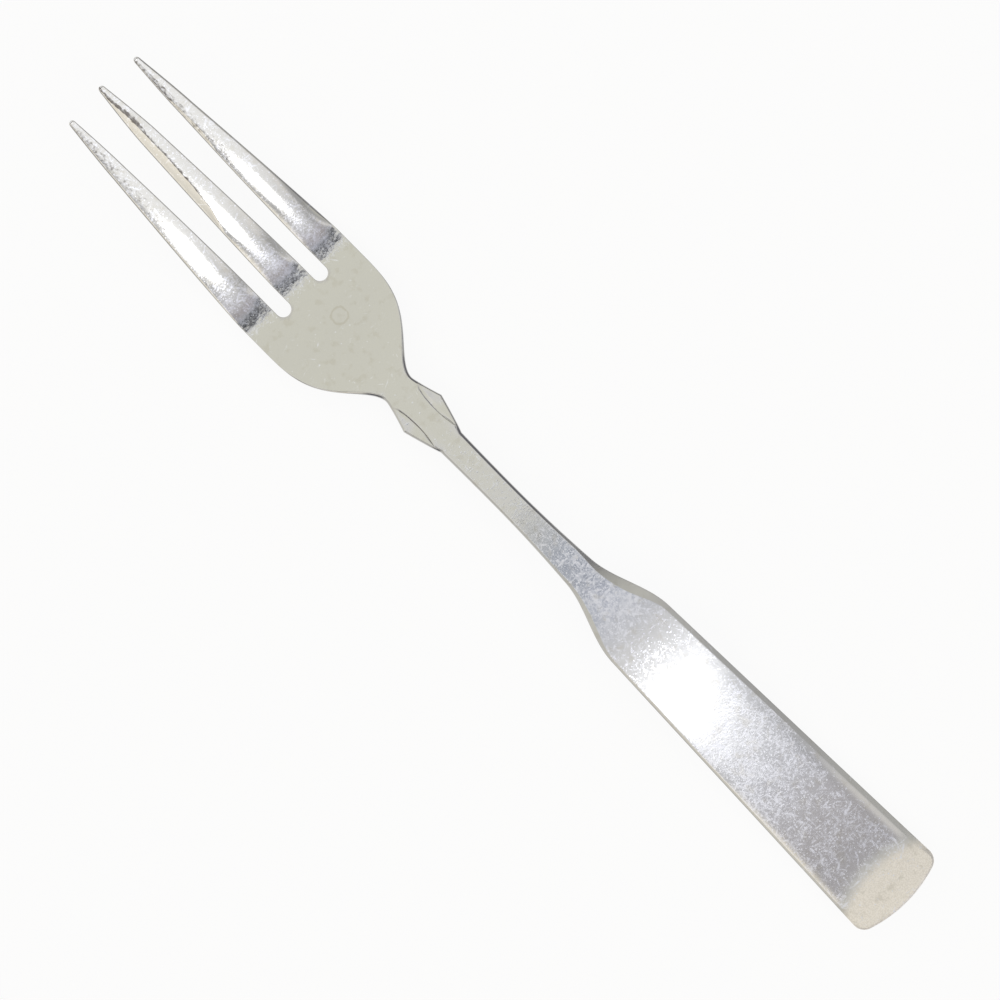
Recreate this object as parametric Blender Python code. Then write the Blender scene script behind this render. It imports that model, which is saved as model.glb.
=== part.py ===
"""Dinner fork: a three-tined table fork of polished stainless steel, lying face up.

Metres, +Z up. +X points to the tips of the tines and Y runs across the fork. The origin lies
on the table, under the middle of the fork. A station is a distance back from the tip of the
middle tine. The fork is one forging, divided by narrow cuts where its regions meet.
"""
import math

import bmesh
import bpy

MM = 0.001

# Lengths along the fork, from the tips back to the end of the grip
TINE_LENGTH = 47.4 * MM
PALM_LENGTH = 22.0 * MM
EAR_FRONT_LENGTH = 5.6 * MM
EAR_REAR_LENGTH = 6.8 * MM
SHANK_LENGTH = 30.3 * MM
SHOULDER_LENGTH = 14.4 * MM
GRIP_LENGTH = 63.5 * MM

# Tines and the slots between them
TINE_ROOT_WIDTH = 5.9 * MM
TINE_TIP_WIDTH = 1.0 * MM
TINE_POINT_LENGTH = 11.0 * MM
MIDDLE_POINT_WIDTH = 3.4 * MM
OUTER_POINT_WIDTH = 2.8 * MM
POINT_CURVE = 1.25
SHAFT_CURVE = 1.3
TINE_NOSE_LENGTH = 0.6 * MM
TINE_NOSE_SHARE = 0.5
SLOT_WIDTH = 2.75 * MM
TIP_PITCH = 7.4 * MM
OUTER_TIP_SETBACK = 0.6 * MM
STUB_LENGTH = 4.6 * MM

# Widths along the body
PALM_CURVE = 2.0
WAIST_WIDTH = 5.9 * MM
EAR_WIDTH = 8.9 * MM
EAR_FRONT_CURVE = 1.2
EAR_REAR_CURVE = 0.9
SHANK_FRONT_WIDTH = 4.85 * MM
SHANK_SLIM_WIDTH = 4.6 * MM
SHANK_SLIM_SETBACK = 12.5 * MM
SHANK_REAR_WIDTH = 6.0 * MM
GRIP_FRONT_WIDTH = 13.4 * MM
GRIP_END_WIDTH = 17.85 * MM
GRIP_END_RADIUS = 26.0 * MM
GRIP_CORNER_RADIUS = 3.2 * MM
NECK_FRONT_REACH = 4.0 * MM

# Thickness of the steel
TINE_TIP_THICKNESS = 1.1 * MM
TINE_ROOT_THICKNESS = 2.2 * MM
NECK_THICKNESS = 2.7 * MM
CREST_THICKNESS = 3.0 * MM
GRIP_THICKNESS = 2.4 * MM

# Side view: the belly and the grip touch the table, the crest, the tips and the grip's end stand clear
TIP_RISE = 16.0 * MM
TIP_BEND = 1.45
BELLY_LENGTH = 1.2 * MM
PALM_EASE = 1.4 * MM
SHANK_EASE = 16.0 * MM
CREST_HEIGHT = 5.0 * MM
CREST_SETBACK = 7.4 * MM
GRIP_EASE = 12.0 * MM
GRIP_REST_LENGTH = 4.0 * MM
END_TURN_LENGTH = 9.0 * MM
END_TURN_RISE = 1.8 * MM
END_TURN_BEND = 1.25
END_TURN_RADIUS = 18.6 * MM

# Edges of the top face: how far a bevel reaches in from the outline, and how far it falls
PALM_BEVEL = 0.45 * MM
PALM_BEVEL_FALL = 0.3 * MM
EAR_FACE_WIDTH = 4.1 * MM
EAR_FALL = 0.6 * MM
SHANK_BEVEL = 0.5 * MM
SHANK_BEVEL_FALL = 0.5 * MM
SHOULDER_BEVEL = 1.3 * MM
GRIP_BEVEL = 0.75 * MM
GRIP_BEVEL_FALL = 0.35 * MM
TINE_BEVEL_SHARE = 0.35
TINE_BEVEL_FALL_SHARE = 0.3
HEEL = 0.4 * MM
CROWN = 0.15 * MM

# Width of the cuts between the regions
CUT = 0.3 * MM

# Fineness of the solids: longest step between two sections, steps in a quarter turn, crease angle
STEP = 2.0 * MM
ARC_STEPS = 6
CREASE_DEGREES = 25.0

# Sizes that follow from the ones above
AT_SLOTS = TINE_LENGTH
AT_TINES = AT_SLOTS - STUB_LENGTH
AT_BELLY_END = AT_TINES + BELLY_LENGTH
AT_WAIST = AT_SLOTS + PALM_LENGTH
AT_NECK = AT_WAIST - NECK_FRONT_REACH
AT_EARS = AT_WAIST + EAR_FRONT_LENGTH
AT_SHANK = AT_EARS + EAR_REAR_LENGTH
AT_SLIM = AT_SHANK + SHANK_SLIM_SETBACK
AT_SHOULDER = AT_SHANK + SHANK_LENGTH
AT_GRIP = AT_SHOULDER + SHOULDER_LENGTH
AT_CREST = AT_SHOULDER + CREST_SETBACK
LENGTH = AT_GRIP + GRIP_LENGTH
AT_END_TURN = LENGTH - END_TURN_LENGTH
AT_REST = AT_END_TURN - GRIP_REST_LENGTH
HEAD_WIDTH = 3.0 * TINE_ROOT_WIDTH + 2.0 * SLOT_WIDTH
ROOT_PITCH = TINE_ROOT_WIDTH + SLOT_WIDTH
HALF_CUT = 0.5 * CUT

# The rounded corner between the grip's side and its end arc
AT_END_CENTRE = LENGTH - GRIP_END_RADIUS
CORNER_OFFSET = 0.5 * GRIP_END_WIDTH - GRIP_CORNER_RADIUS
CORNER_REACH = GRIP_END_RADIUS - GRIP_CORNER_RADIUS
CORNER_ANGLE = math.asin(CORNER_OFFSET / CORNER_REACH)
AT_CORNER = AT_END_CENTRE + CORNER_REACH * math.cos(CORNER_ANGLE)
AT_END_ARC = AT_END_CENTRE + GRIP_END_RADIUS * math.cos(CORNER_ANGLE)


def smooth(share):
    """Ease from 0 to 1, level at both ends."""
    share = min(1.0, max(0.0, share))
    return share * share * (3.0 - 2.0 * share)


def between(at, start, stop):
    """Share of the way from one station to another."""
    return (at - start) / (stop - start)


def mix(low, high, share):
    return low + (high - low) * share


def along(at, marks):
    """Value at a station, eased between the marked stations."""
    for (start, low), (stop, high) in zip(marks, marks[1:]):
        if at <= stop:
            return mix(low, high, smooth(between(at, start, stop)))
    return marks[-1][1]


def outline_width(at):
    """Width of the palm, neck, shank and grip at a station."""
    if at <= AT_SLOTS:
        return HEAD_WIDTH
    if at <= AT_WAIST:
        ogee = smooth(1.0 - between(at, AT_SLOTS, AT_WAIST) ** PALM_CURVE)
        return mix(WAIST_WIDTH, HEAD_WIDTH, ogee)
    if at <= AT_EARS:
        return mix(WAIST_WIDTH, EAR_WIDTH, between(at, AT_WAIST, AT_EARS) ** EAR_FRONT_CURVE)
    if at <= AT_SHANK:
        return mix(SHANK_FRONT_WIDTH, EAR_WIDTH, between(at, AT_SHANK, AT_EARS) ** EAR_REAR_CURVE)
    if at <= AT_SLIM:
        return mix(SHANK_SLIM_WIDTH, SHANK_FRONT_WIDTH, between(at, AT_SLIM, AT_SHANK) ** 2)
    if at <= AT_SHOULDER:
        return mix(SHANK_SLIM_WIDTH, SHANK_REAR_WIDTH, between(at, AT_SLIM, AT_SHOULDER) ** 2)
    if at <= AT_GRIP:
        return mix(SHANK_REAR_WIDTH, GRIP_FRONT_WIDTH, smooth(between(at, AT_SHOULDER, AT_GRIP)))
    if at <= AT_CORNER:
        return mix(GRIP_FRONT_WIDTH, GRIP_END_WIDTH, between(at, AT_GRIP, AT_CORNER))
    if at <= AT_END_ARC:
        return 2.0 * (CORNER_OFFSET + math.sqrt(max(0.0, GRIP_CORNER_RADIUS**2 - (at - AT_CORNER) ** 2)))
    return max(2.0 * HEEL, 2.0 * math.sqrt(max(0.0, GRIP_END_RADIUS**2 - (at - AT_END_CENTRE) ** 2)))


def ramp(distance, run, foot, head):
    """Share of a rise over a run. The slope grows over the foot, holds, then fades over the head."""
    steady = run - 0.5 * (foot + head)
    if distance <= foot:
        return distance**2 / (2.0 * foot * steady)
    if distance <= run - head:
        return (distance - 0.5 * foot) / steady
    return 1.0 - (run - distance) ** 2 / (2.0 * head * steady)


def underside(at):
    """Height of the underside above the table."""
    if at <= AT_TINES:
        return TIP_RISE * between(at, AT_TINES, 0.0) ** TIP_BEND
    if at <= AT_BELLY_END or at >= AT_REST:
        return 0.0
    if at <= AT_CREST:
        return CREST_HEIGHT * ramp(at - AT_BELLY_END, AT_CREST - AT_BELLY_END, PALM_EASE, SHANK_EASE)
    run = AT_REST - AT_CREST
    return CREST_HEIGHT * ramp(AT_REST - at, run, run - GRIP_EASE, GRIP_EASE)


def thickness(at):
    """Thickness of the steel on the centre line."""
    return along(at, (
        (0.0, TINE_TIP_THICKNESS),
        (AT_TINES, TINE_ROOT_THICKNESS),
        (AT_WAIST, NECK_THICKNESS),
        (AT_CREST, CREST_THICKNESS),
        (AT_REST, GRIP_THICKNESS),
    ))


def bevel_width(at):
    """How far the bevels of the top face reach in from the outline."""
    if AT_WAIST < at < AT_SHANK:
        waist_face = WAIST_WIDTH - 2.0 * PALM_BEVEL
        shank_face = SHANK_FRONT_WIDTH - 2.0 * SHANK_BEVEL
        face = along(at, ((AT_WAIST, waist_face), (AT_EARS, EAR_FACE_WIDTH), (AT_SHANK, shank_face)))
        return 0.5 * (outline_width(at) - face)
    middle = 0.5 * (AT_SHOULDER + AT_GRIP)
    return along(at, (
        (AT_WAIST, PALM_BEVEL),
        (AT_SHANK, SHANK_BEVEL),
        (AT_SHOULDER, SHANK_BEVEL),
        (middle, SHOULDER_BEVEL),
        (AT_GRIP, GRIP_BEVEL),
    ))


def bevel_fall(at):
    """How far the bevels of the top face fall at the outline."""
    return along(at, (
        (AT_NECK, PALM_BEVEL_FALL),
        (AT_EARS, EAR_FALL),
        (AT_SHANK, SHANK_BEVEL_FALL),
        (AT_SHOULDER, SHANK_BEVEL_FALL),
        (AT_GRIP, GRIP_BEVEL_FALL),
    ))


def end_turn(at, across):
    """How far the end of the grip turns up at a point. The turn starts later towards the sides."""
    start = AT_END_TURN + across**2 / (2.0 * END_TURN_RADIUS)
    return END_TURN_RISE * max(0.0, (at - start) / END_TURN_LENGTH) ** END_TURN_BEND


def section(half, bevel, fall, bottom, top):
    """Closed section as (y, z) pairs: crowned face, bevelled edges, straight sides, eased heels."""
    face = half - bevel
    heel = min(HEEL, 0.5 * half, 0.5 * (top - fall - bottom))
    right = [
        (0.5 * face, top + CROWN * (1.0 - 0.5**2)),
        (face, top),
        (half, top - fall),
        (half, bottom + heel),
        (half - heel, bottom),
    ]
    left = [(-y, z) for y, z in reversed(right)]
    return [(0.0, top + CROWN)] + right + [(0.0, bottom)] + left


def body_ring(at):
    """Section of the palm, neck, shank or grip at a station."""
    half = 0.5 * outline_width(at)
    bevel = min(bevel_width(at), 0.5 * half)
    bottom = underside(at)
    top = bottom + thickness(at)
    x = 0.5 * LENGTH - at
    ring = section(half, bevel, bevel_fall(at), bottom, top)
    return [(x, y, z + end_turn(at, y)) for y, z in ring]


def tine_width(at, side):
    """Width of one tine: a rounded nose, a curved point, then a curved shaft that swells to the root."""
    tip = OUTER_TIP_SETBACK * abs(side)
    point_width = OUTER_POINT_WIDTH if side else MIDDLE_POINT_WIDTH
    if at >= tip + TINE_POINT_LENGTH:
        to_root = between(at, AT_TINES, tip + TINE_POINT_LENGTH)
        return mix(TINE_ROOT_WIDTH, point_width, to_root**SHAFT_CURVE)
    point = 1.0 - (1.0 - (at - tip) / TINE_POINT_LENGTH) ** POINT_CURVE
    nose = min(1.0, (at - tip) / TINE_NOSE_LENGTH)
    round_off = mix(TINE_NOSE_SHARE, 1.0, math.sqrt(1.0 - (1.0 - nose) ** 2))
    return round_off * mix(TINE_TIP_WIDTH, point_width, point)


def tine_ring(at, side):
    """Section of one tine at a station. Side is 1 on the left, 0 in the middle, -1 on the right."""
    half = 0.5 * tine_width(at, side)
    middle = side * mix(TIP_PITCH, ROOT_PITCH, between(at, 0.0, AT_TINES))
    bottom = underside(at)
    steel = thickness(at)
    ahead_of_root = smooth(between(at, AT_TINES, AT_TINES - TINE_POINT_LENGTH))
    bevel = TINE_BEVEL_SHARE * half
    fall = mix(PALM_BEVEL_FALL, TINE_BEVEL_FALL_SHARE * steel, ahead_of_root)
    ring = section(half, bevel, fall, bottom, bottom + steel)
    return [(0.5 * LENGTH - at, middle + y, z) for y, z in ring]


def stations(first, last, marks=()):
    """Evenly spaced stations, with every mark between the two ends among them."""
    ends = [first] + sorted(mark for mark in marks if first < mark < last) + [last]
    spaced = [first]
    for low, high in zip(ends, ends[1:]):
        count = math.ceil((high - low) / STEP)
        spaced += [mix(low, high, (k + 1) / count) for k in range(count)]
    return spaced


def grip_end_stations():
    """Stations that step evenly around the grip's corners and its end arc."""
    corner = [AT_CORNER + GRIP_CORNER_RADIUS * math.cos(mix(0.5 * math.pi, CORNER_ANGLE, k / ARC_STEPS))
              for k in range(1, ARC_STEPS + 1)]
    arc = [AT_END_CENTRE + GRIP_END_RADIUS * math.cos(mix(CORNER_ANGLE, 0.0, k / ARC_STEPS))
           for k in range(1, ARC_STEPS + 1)]
    return corner + arc


def steel_finish(name, colour, roughness):
    """Polished steel, a little different in tone from region to region."""
    material = bpy.data.materials.new(name)
    material.use_nodes = True
    shader = material.node_tree.nodes["Principled BSDF"]
    shader.inputs["Base Color"].default_value = (*colour, 1.0)
    shader.inputs["Metallic"].default_value = 1.0
    shader.inputs["Roughness"].default_value = roughness
    material.diffuse_color = (*colour, 1.0)
    return material


def add_object(name, bm, parent, material=None):
    """Turn a finished bmesh into a named object with flat faces kept crisp."""
    bmesh.ops.recalc_face_normals(bm, faces=bm.faces)
    mesh = bpy.data.meshes.new(name)
    bm.to_mesh(mesh)
    bm.free()
    mesh.shade_smooth()
    mesh.set_sharp_from_angle(angle=math.radians(CREASE_DEGREES))
    if material:
        mesh.materials.append(material)
    piece = bpy.data.objects.new(name, mesh)
    piece.parent = parent
    bpy.context.collection.objects.link(piece)
    return piece


def loft(name, rings, parent, material):
    """Solid skinned over a row of sections, closed at both ends."""
    bm = bmesh.new()
    loops = [[bm.verts.new(point) for point in ring] for ring in rings]
    for ahead, behind in zip(loops, loops[1:]):
        for k in range(len(ahead)):
            bm.faces.new((ahead[k - 1], ahead[k], behind[k], behind[k - 1]))
    bm.faces.new(loops[0])
    bm.faces.new(loops[-1])
    return add_object(name, bm, parent, material)


def slot_cutter(side, parent):
    """Round-ended bar, upright through the palm, that leaves the slot beside the middle tine."""
    radius = 0.5 * SLOT_WIDTH
    centre_x = 0.5 * LENGTH - (AT_SLOTS - radius)
    centre_y = 0.5 * side * ROOT_PITCH
    front_x = 0.5 * LENGTH - AT_TINES + SLOT_WIDTH
    turns = [mix(0.5 * math.pi, 1.5 * math.pi, k / (2 * ARC_STEPS)) for k in range(2 * ARC_STEPS + 1)]
    corners = [(centre_x + radius * math.cos(turn), centre_y + radius * math.sin(turn)) for turn in turns]
    corners += [(front_x, centre_y - radius), (front_x, centre_y + radius)]
    bm = bmesh.new()
    base = bm.faces.new([bm.verts.new((x, y, -SLOT_WIDTH)) for x, y in corners])
    raised = bmesh.ops.extrude_face_region(bm, geom=[base])["geom"]
    upper = [item for item in raised if isinstance(item, bmesh.types.BMVert)]
    bmesh.ops.translate(bm, vec=(0.0, 0.0, CREST_HEIGHT + 2.0 * SLOT_WIDTH), verts=upper)
    cutter = add_object("slot_cutter_left" if side > 0 else "slot_cutter_right", bm, parent)
    cutter.hide_render = True
    cutter.display_type = "WIRE"
    return cutter


def build_handle(parent):
    sides = stations(AT_SHOULDER + HALF_CUT, AT_CORNER, (AT_CREST, AT_GRIP, AT_REST, AT_END_TURN))
    rings = [body_ring(at) for at in sides + grip_end_stations()]
    loft("handle", rings, parent, steel_finish("grip_steel", (0.52, 0.52, 0.55), 0.3))


def build_shank(parent):
    spaced = stations(AT_SHANK + HALF_CUT, AT_SHOULDER - HALF_CUT, (AT_SLIM,))
    rings = [body_ring(at) for at in spaced]
    loft("shank", rings, parent, steel_finish("shank_steel", (0.50, 0.52, 0.54), 0.28))


def build_neck(parent):
    spaced = stations(AT_NECK + HALF_CUT, AT_SHANK - HALF_CUT, (AT_WAIST, AT_EARS))
    rings = [body_ring(at) for at in spaced]
    loft("neck", rings, parent, steel_finish("neck_steel", (0.56, 0.55, 0.49), 0.25))


def build_tine_root(parent):
    spaced = stations(AT_TINES + HALF_CUT, AT_NECK - HALF_CUT, (AT_SLOTS, AT_BELLY_END))
    rings = [body_ring(at) for at in spaced]
    root = loft("tine_root", rings, parent, steel_finish("palm_steel", (0.56, 0.55, 0.49), 0.22))
    for side in (1, -1):
        slot = root.modifiers.new("slot", "BOOLEAN")
        slot.operation = "DIFFERENCE"
        slot.solver = "EXACT"
        slot.object = slot_cutter(side, parent)


def build_tines(parent):
    for name, side in (("tine_left", 1), ("tine_middle", 0), ("tine_right", -1)):
        tip = OUTER_TIP_SETBACK * abs(side)
        nose_end = tip + TINE_NOSE_LENGTH
        nose = [tip + TINE_NOSE_LENGTH * (k / ARC_STEPS) ** 2 for k in range(ARC_STEPS)]
        shaft = stations(nose_end, AT_TINES - HALF_CUT, (tip + TINE_POINT_LENGTH,))
        rings = [tine_ring(at, side) for at in nose + shaft]
        loft(name, rings, parent, steel_finish(name + "_steel", (0.54, 0.54, 0.52), 0.24))


def build_fork():
    for leftover in list(bpy.data.objects):
        bpy.data.objects.remove(leftover)
    fork = bpy.data.objects.new("dinner_fork", None)
    bpy.context.collection.objects.link(fork)
    build_tines(fork)
    build_tine_root(fork)
    build_neck(fork)
    build_shank(fork)
    build_handle(fork)


build_fork()
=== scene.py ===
# %% [markdown]
# # A three-tined dinner fork in worn, polished steel
# The real fork is stamped from one strip of stainless steel, then forged, ground and polished.
# Its look is almost nothing but reflections, so two things decide it: a smooth and accurate
# skin, and a room of light that is worth reflecting.
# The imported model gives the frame: where each region of the fork starts, and how big it is.

# %% Load the frame
import math

import bmesh
import bpy
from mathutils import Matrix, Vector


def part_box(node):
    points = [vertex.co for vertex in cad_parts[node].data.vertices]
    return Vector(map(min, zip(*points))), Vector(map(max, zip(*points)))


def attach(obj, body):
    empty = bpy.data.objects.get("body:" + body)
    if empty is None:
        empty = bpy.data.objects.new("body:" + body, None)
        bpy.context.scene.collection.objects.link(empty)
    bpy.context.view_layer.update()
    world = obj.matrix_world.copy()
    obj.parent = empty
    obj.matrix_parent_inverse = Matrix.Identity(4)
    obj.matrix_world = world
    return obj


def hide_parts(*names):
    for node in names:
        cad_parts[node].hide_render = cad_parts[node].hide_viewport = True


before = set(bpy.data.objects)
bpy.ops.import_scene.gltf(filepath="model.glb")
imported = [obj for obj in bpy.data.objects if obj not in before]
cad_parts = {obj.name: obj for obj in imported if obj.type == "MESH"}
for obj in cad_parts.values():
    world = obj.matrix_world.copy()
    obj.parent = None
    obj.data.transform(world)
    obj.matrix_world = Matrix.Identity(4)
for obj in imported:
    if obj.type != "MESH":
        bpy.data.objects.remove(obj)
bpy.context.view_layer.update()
MM = 0.001
print("nodes:", ", ".join(sorted(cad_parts)))

# %% [markdown]
# ## Stations
# A place along the fork is called a station: how many millimetres it lies behind the tip of the
# middle tine. The stations where one region ends and the next begins are read from the boxes of
# the CAD nodes, half way across the narrow cut between two neighbours.

# %% Measure the nodes


def low_mm(node):
    return [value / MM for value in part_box(node)[0]]


def high_mm(node):
    return [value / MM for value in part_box(node)[1]]


def cut_between(ahead, behind):
    """Station of the cut between two neighbouring nodes."""
    return tip_x - 0.5 * (low_mm(ahead)[0] + high_mm(behind)[0])


tip_x = high_mm("tine_middle")[0]
length = tip_x - low_mm("handle")[0]
at_tines = cut_between("tine_middle", "tine_root")
at_neck = cut_between("tine_root", "neck")
at_shank = cut_between("neck", "shank")
at_shoulder = cut_between("shank", "handle")
head_width = high_mm("tine_root")[1] - low_mm("tine_root")[1]
grip_width = high_mm("handle")[1] - low_mm("handle")[1]
outer_tip_setback = tip_x - high_mm("tine_left")[0]
print(f"length {length:.1f}, head {head_width:.2f}, grip {grip_width:.2f} mm")
print(f"cuts at {at_tines:.1f}, {at_neck:.1f}, {at_shank:.1f} and {at_shoulder:.1f} mm")

# %% [markdown]
# ## Easing
# Forged and ground steel has few sharp changes. A handful of small functions pass from one value to
# the next without a kink, and every curve of the fork is put together from them.

# %% Easing helpers


def smooth(share):
    """Ease from 0 to 1, level at both ends."""
    share = min(1.0, max(0.0, share))
    return share * share * (3.0 - 2.0 * share)


def mix(low, high, share):
    """Value between low and high."""
    return low + (high - low) * share


def share_of(at, start, stop):
    """How far a station lies on the way from start to stop: 0 at the start, 1 at the stop."""
    return (at - start) / (stop - start)


def along(at, marks):
    """Value at a station, eased between marked stations."""
    if at <= marks[0][0]:
        return marks[0][1]
    for (start, low), (stop, high) in zip(marks, marks[1:]):
        if at <= stop:
            return mix(low, high, smooth(share_of(at, start, stop)))
    return marks[-1][1]


def sweep(share, low, high, low_slope, high_slope):
    """Cubic from low to high that leaves and arrives with the given slopes."""
    s2 = share * share
    s3 = s2 * share
    return (low * (2 * s3 - 3 * s2 + 1) + low_slope * (s3 - 2 * s2 + share)
            + high * (3 * s2 - 2 * s3) + high_slope * (s3 - s2))


print("a quarter of the way is eased to", smooth(0.25))

# %% [markdown]
# ## The outline from above
# Seen from above, the fork is a chain of simple curves: parallel stubs between round-ended slots,
# an ogee palm, a waist, two pointed ears, a slim shank, a flared shoulder, and a grip that widens
# to a shallow arc. One function gives the half width at any station. A freehand curve could do the
# same, but formulas keep every part of the outline tied to a size that can be named.

# %% Outline of the body
STUB_LENGTH = 4.6
PALM_LENGTH = 22.0
PALM_CURVE = 2.0
WAIST_HALF = 2.95
EAR_FRONT_LENGTH = 5.6
EAR_HALF = 4.45
EAR_FRONT_CURVE = 1.2
EAR_REAR_CURVE = 0.9
SHANK_FRONT_HALF = 2.42
SHANK_SLIM_HALF = 2.3
SHANK_SLIM_SETBACK = 12.5
SHANK_REAR_HALF = 2.95
SHANK_REAR_SLOPE = 0.07
SHOULDER_LENGTH = 14.4
GRIP_FRONT_HALF = 6.7
GRIP_END_RADIUS = 26.0
GRIP_CORNER_RADIUS = 2.2

at_slots = at_tines + STUB_LENGTH
at_waist = at_slots + PALM_LENGTH
at_ears = at_waist + EAR_FRONT_LENGTH
at_slim = at_shank + SHANK_SLIM_SETBACK
at_grip = at_shoulder + SHOULDER_LENGTH
head_half = 0.5 * head_width
grip_half = 0.5 * grip_width
at_end_centre = length - GRIP_END_RADIUS
corner_offset = grip_half - GRIP_CORNER_RADIUS
corner_reach = GRIP_END_RADIUS - GRIP_CORNER_RADIUS
corner_angle = math.asin(corner_offset / corner_reach)
at_corner = at_end_centre + corner_reach * math.cos(corner_angle)
grip_slope = (grip_half - GRIP_FRONT_HALF) / (at_corner - at_grip)


def body_half(at):
    """Half width of the palm, neck, shank and grip at a station, up to the grip's corners."""
    if at <= at_slots:
        return head_half
    if at <= at_waist:
        return mix(WAIST_HALF, head_half, smooth(1.0 - share_of(at, at_slots, at_waist) ** PALM_CURVE))
    if at <= at_ears:
        return mix(WAIST_HALF, EAR_HALF, share_of(at, at_waist, at_ears) ** EAR_FRONT_CURVE)
    if at <= at_shank:
        return mix(SHANK_FRONT_HALF, EAR_HALF, share_of(at, at_shank, at_ears) ** EAR_REAR_CURVE)
    if at <= at_slim:
        return mix(SHANK_SLIM_HALF, SHANK_FRONT_HALF, share_of(at, at_slim, at_shank) ** 2)
    if at <= at_shoulder:
        run = at_shoulder - at_slim
        return sweep(share_of(at, at_slim, at_shoulder), SHANK_SLIM_HALF, SHANK_REAR_HALF,
                     0.0, SHANK_REAR_SLOPE * run)
    if at <= at_grip:
        return sweep(share_of(at, at_shoulder, at_grip), SHANK_REAR_HALF, GRIP_FRONT_HALF,
                     SHANK_REAR_SLOPE * SHOULDER_LENGTH, grip_slope * SHOULDER_LENGTH)
    return mix(GRIP_FRONT_HALF, grip_half, share_of(at, at_grip, at_corner))


print(f"corner of the grip at {at_corner:.1f} mm, {math.degrees(corner_angle):.1f} degrees of end arc")

# %% [markdown]
# ## The side view
# On a table the fork touches at two places only: under the roots of the tines and near the end of
# the handle. The tines sweep up from the belly, the shank climbs to a crest behind the shoulder,
# and the grip falls again and turns up at its very end. These slopes are what a polished face
# shows, because each slope reflects another part of the room.

# %% Height and thickness along the fork
TIP_THICKNESS = 1.1
ROOT_THICKNESS = 2.2
NECK_THICKNESS = 2.7
CREST_THICKNESS = 3.0
GRIP_THICKNESS = 2.4
CROWN = 0.15
TIP_BEND = 1.45
BELLY_LENGTH = 1.2
PALM_EASE = 1.4
SHANK_EASE = 16.0
CREST_SETBACK = 7.4
GRIP_EASE = 12.0
GRIP_REST_LENGTH = 4.0
END_TURN_LENGTH = 9.0
END_TURN_RISE = 1.8
END_TURN_BEND = 1.25
END_TURN_RADIUS = 18.6

tip_rise = high_mm("tine_middle")[2] - TIP_THICKNESS - CROWN
crest_height = high_mm("handle")[2] - CREST_THICKNESS - CROWN
at_belly_end = at_tines + BELLY_LENGTH
at_crest = at_shoulder + CREST_SETBACK
at_end_turn = length - END_TURN_LENGTH
at_rest = at_end_turn - GRIP_REST_LENGTH


def climb(distance, run, foot, head):
    """Share of a rise over a run: the slope grows over the foot, holds, then fades over the head."""
    steady = run - 0.5 * (foot + head)
    if distance <= foot:
        return distance**2 / (2.0 * foot * steady)
    if distance <= run - head:
        return (distance - 0.5 * foot) / steady
    return 1.0 - (run - distance) ** 2 / (2.0 * head * steady)


def underside(at):
    """Height of the underside above the table."""
    if at <= at_tines:
        return tip_rise * share_of(at, at_tines, 0.0) ** TIP_BEND
    if at <= at_belly_end or at >= at_rest:
        return 0.0
    if at <= at_crest:
        return crest_height * climb(at - at_belly_end, at_crest - at_belly_end, PALM_EASE, SHANK_EASE)
    run = at_rest - at_crest
    return crest_height * climb(at_rest - at, run, run - GRIP_EASE, GRIP_EASE)


def top_line(at):
    """Height of the top face along the edge of its crown."""
    return underside(at) + along(at, ((0.0, TIP_THICKNESS), (at_tines, ROOT_THICKNESS),
                                      (at_waist, NECK_THICKNESS), (at_crest, CREST_THICKNESS),
                                      (at_rest, GRIP_THICKNESS)))


def end_turn(at, across):
    """Lift of the grip's end. The turn starts later towards the sides, so its edge is an arc."""
    start = at_end_turn + across**2 / (2.0 * END_TURN_RADIUS)
    return END_TURN_RISE * max(0.0, (at - start) / END_TURN_LENGTH) ** END_TURN_BEND


print(f"tips rise {tip_rise:.1f} mm, the crest stands {crest_height:.1f} mm off the table")

# %% [markdown]
# ## The edges of the body
# Along its sides the top face ends in a ground bevel. It is a hair line at the palm, a thin line at
# the shank, a broad hollow facet at the shoulder and a clear band at the grip. The two sides differ
# a little, as hand grinding leaves them, so some widths below are pairs, for right and for left.

# %% Bevels
RIGHT, LEFT = -1, 1
PALM_BEVEL = 0.05
NECK_BEVEL = 0.26
SHANK_BEVELS = (0.36, 0.26)
SHOULDER_BEVELS = (1.55, 0.7)
GRIP_BEVELS = (0.74, 0.3)
END_BEVEL = 0.2
PALM_BEVEL_SLOPE = 0.3
NECK_BEVEL_SLOPE = 0.72
SHOULDER_BEVEL_SLOPE = 0.5
GRIP_BEVEL_SLOPE = 0.34
END_BEVEL_SLOPE = 0.75
BEVEL_STARTS = 62.5
BEVEL_SETTLES = 67.0
FACET_STARTS = 108.0
FACET_FLATTENS = 116.0
FACET_WIDEST = 119.5
BAND_SETBACK = 1.0
END_BEVEL_TURN = 2.0

at_band = at_grip + BAND_SETBACK
at_band_end = at_corner - END_BEVEL_TURN
at_end_bevel = at_corner + END_BEVEL_TURN


def bevel_reach(at, side):
    """How far the bevel reaches in from the outline. Side runs from -1, right, to 1, left."""
    leftness = 0.5 * (side + 1.0)
    pairs = (SHANK_BEVELS, SHOULDER_BEVELS, GRIP_BEVELS)
    shank, shoulder, grip = (mix(*pair, leftness) for pair in pairs)
    return along(at, ((BEVEL_STARTS, PALM_BEVEL), (BEVEL_SETTLES, NECK_BEVEL), (at_shank, shank),
                      (FACET_STARTS, shank), (FACET_WIDEST, shoulder), (at_band, grip),
                      (at_band_end, grip), (at_end_bevel, END_BEVEL)))


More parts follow.
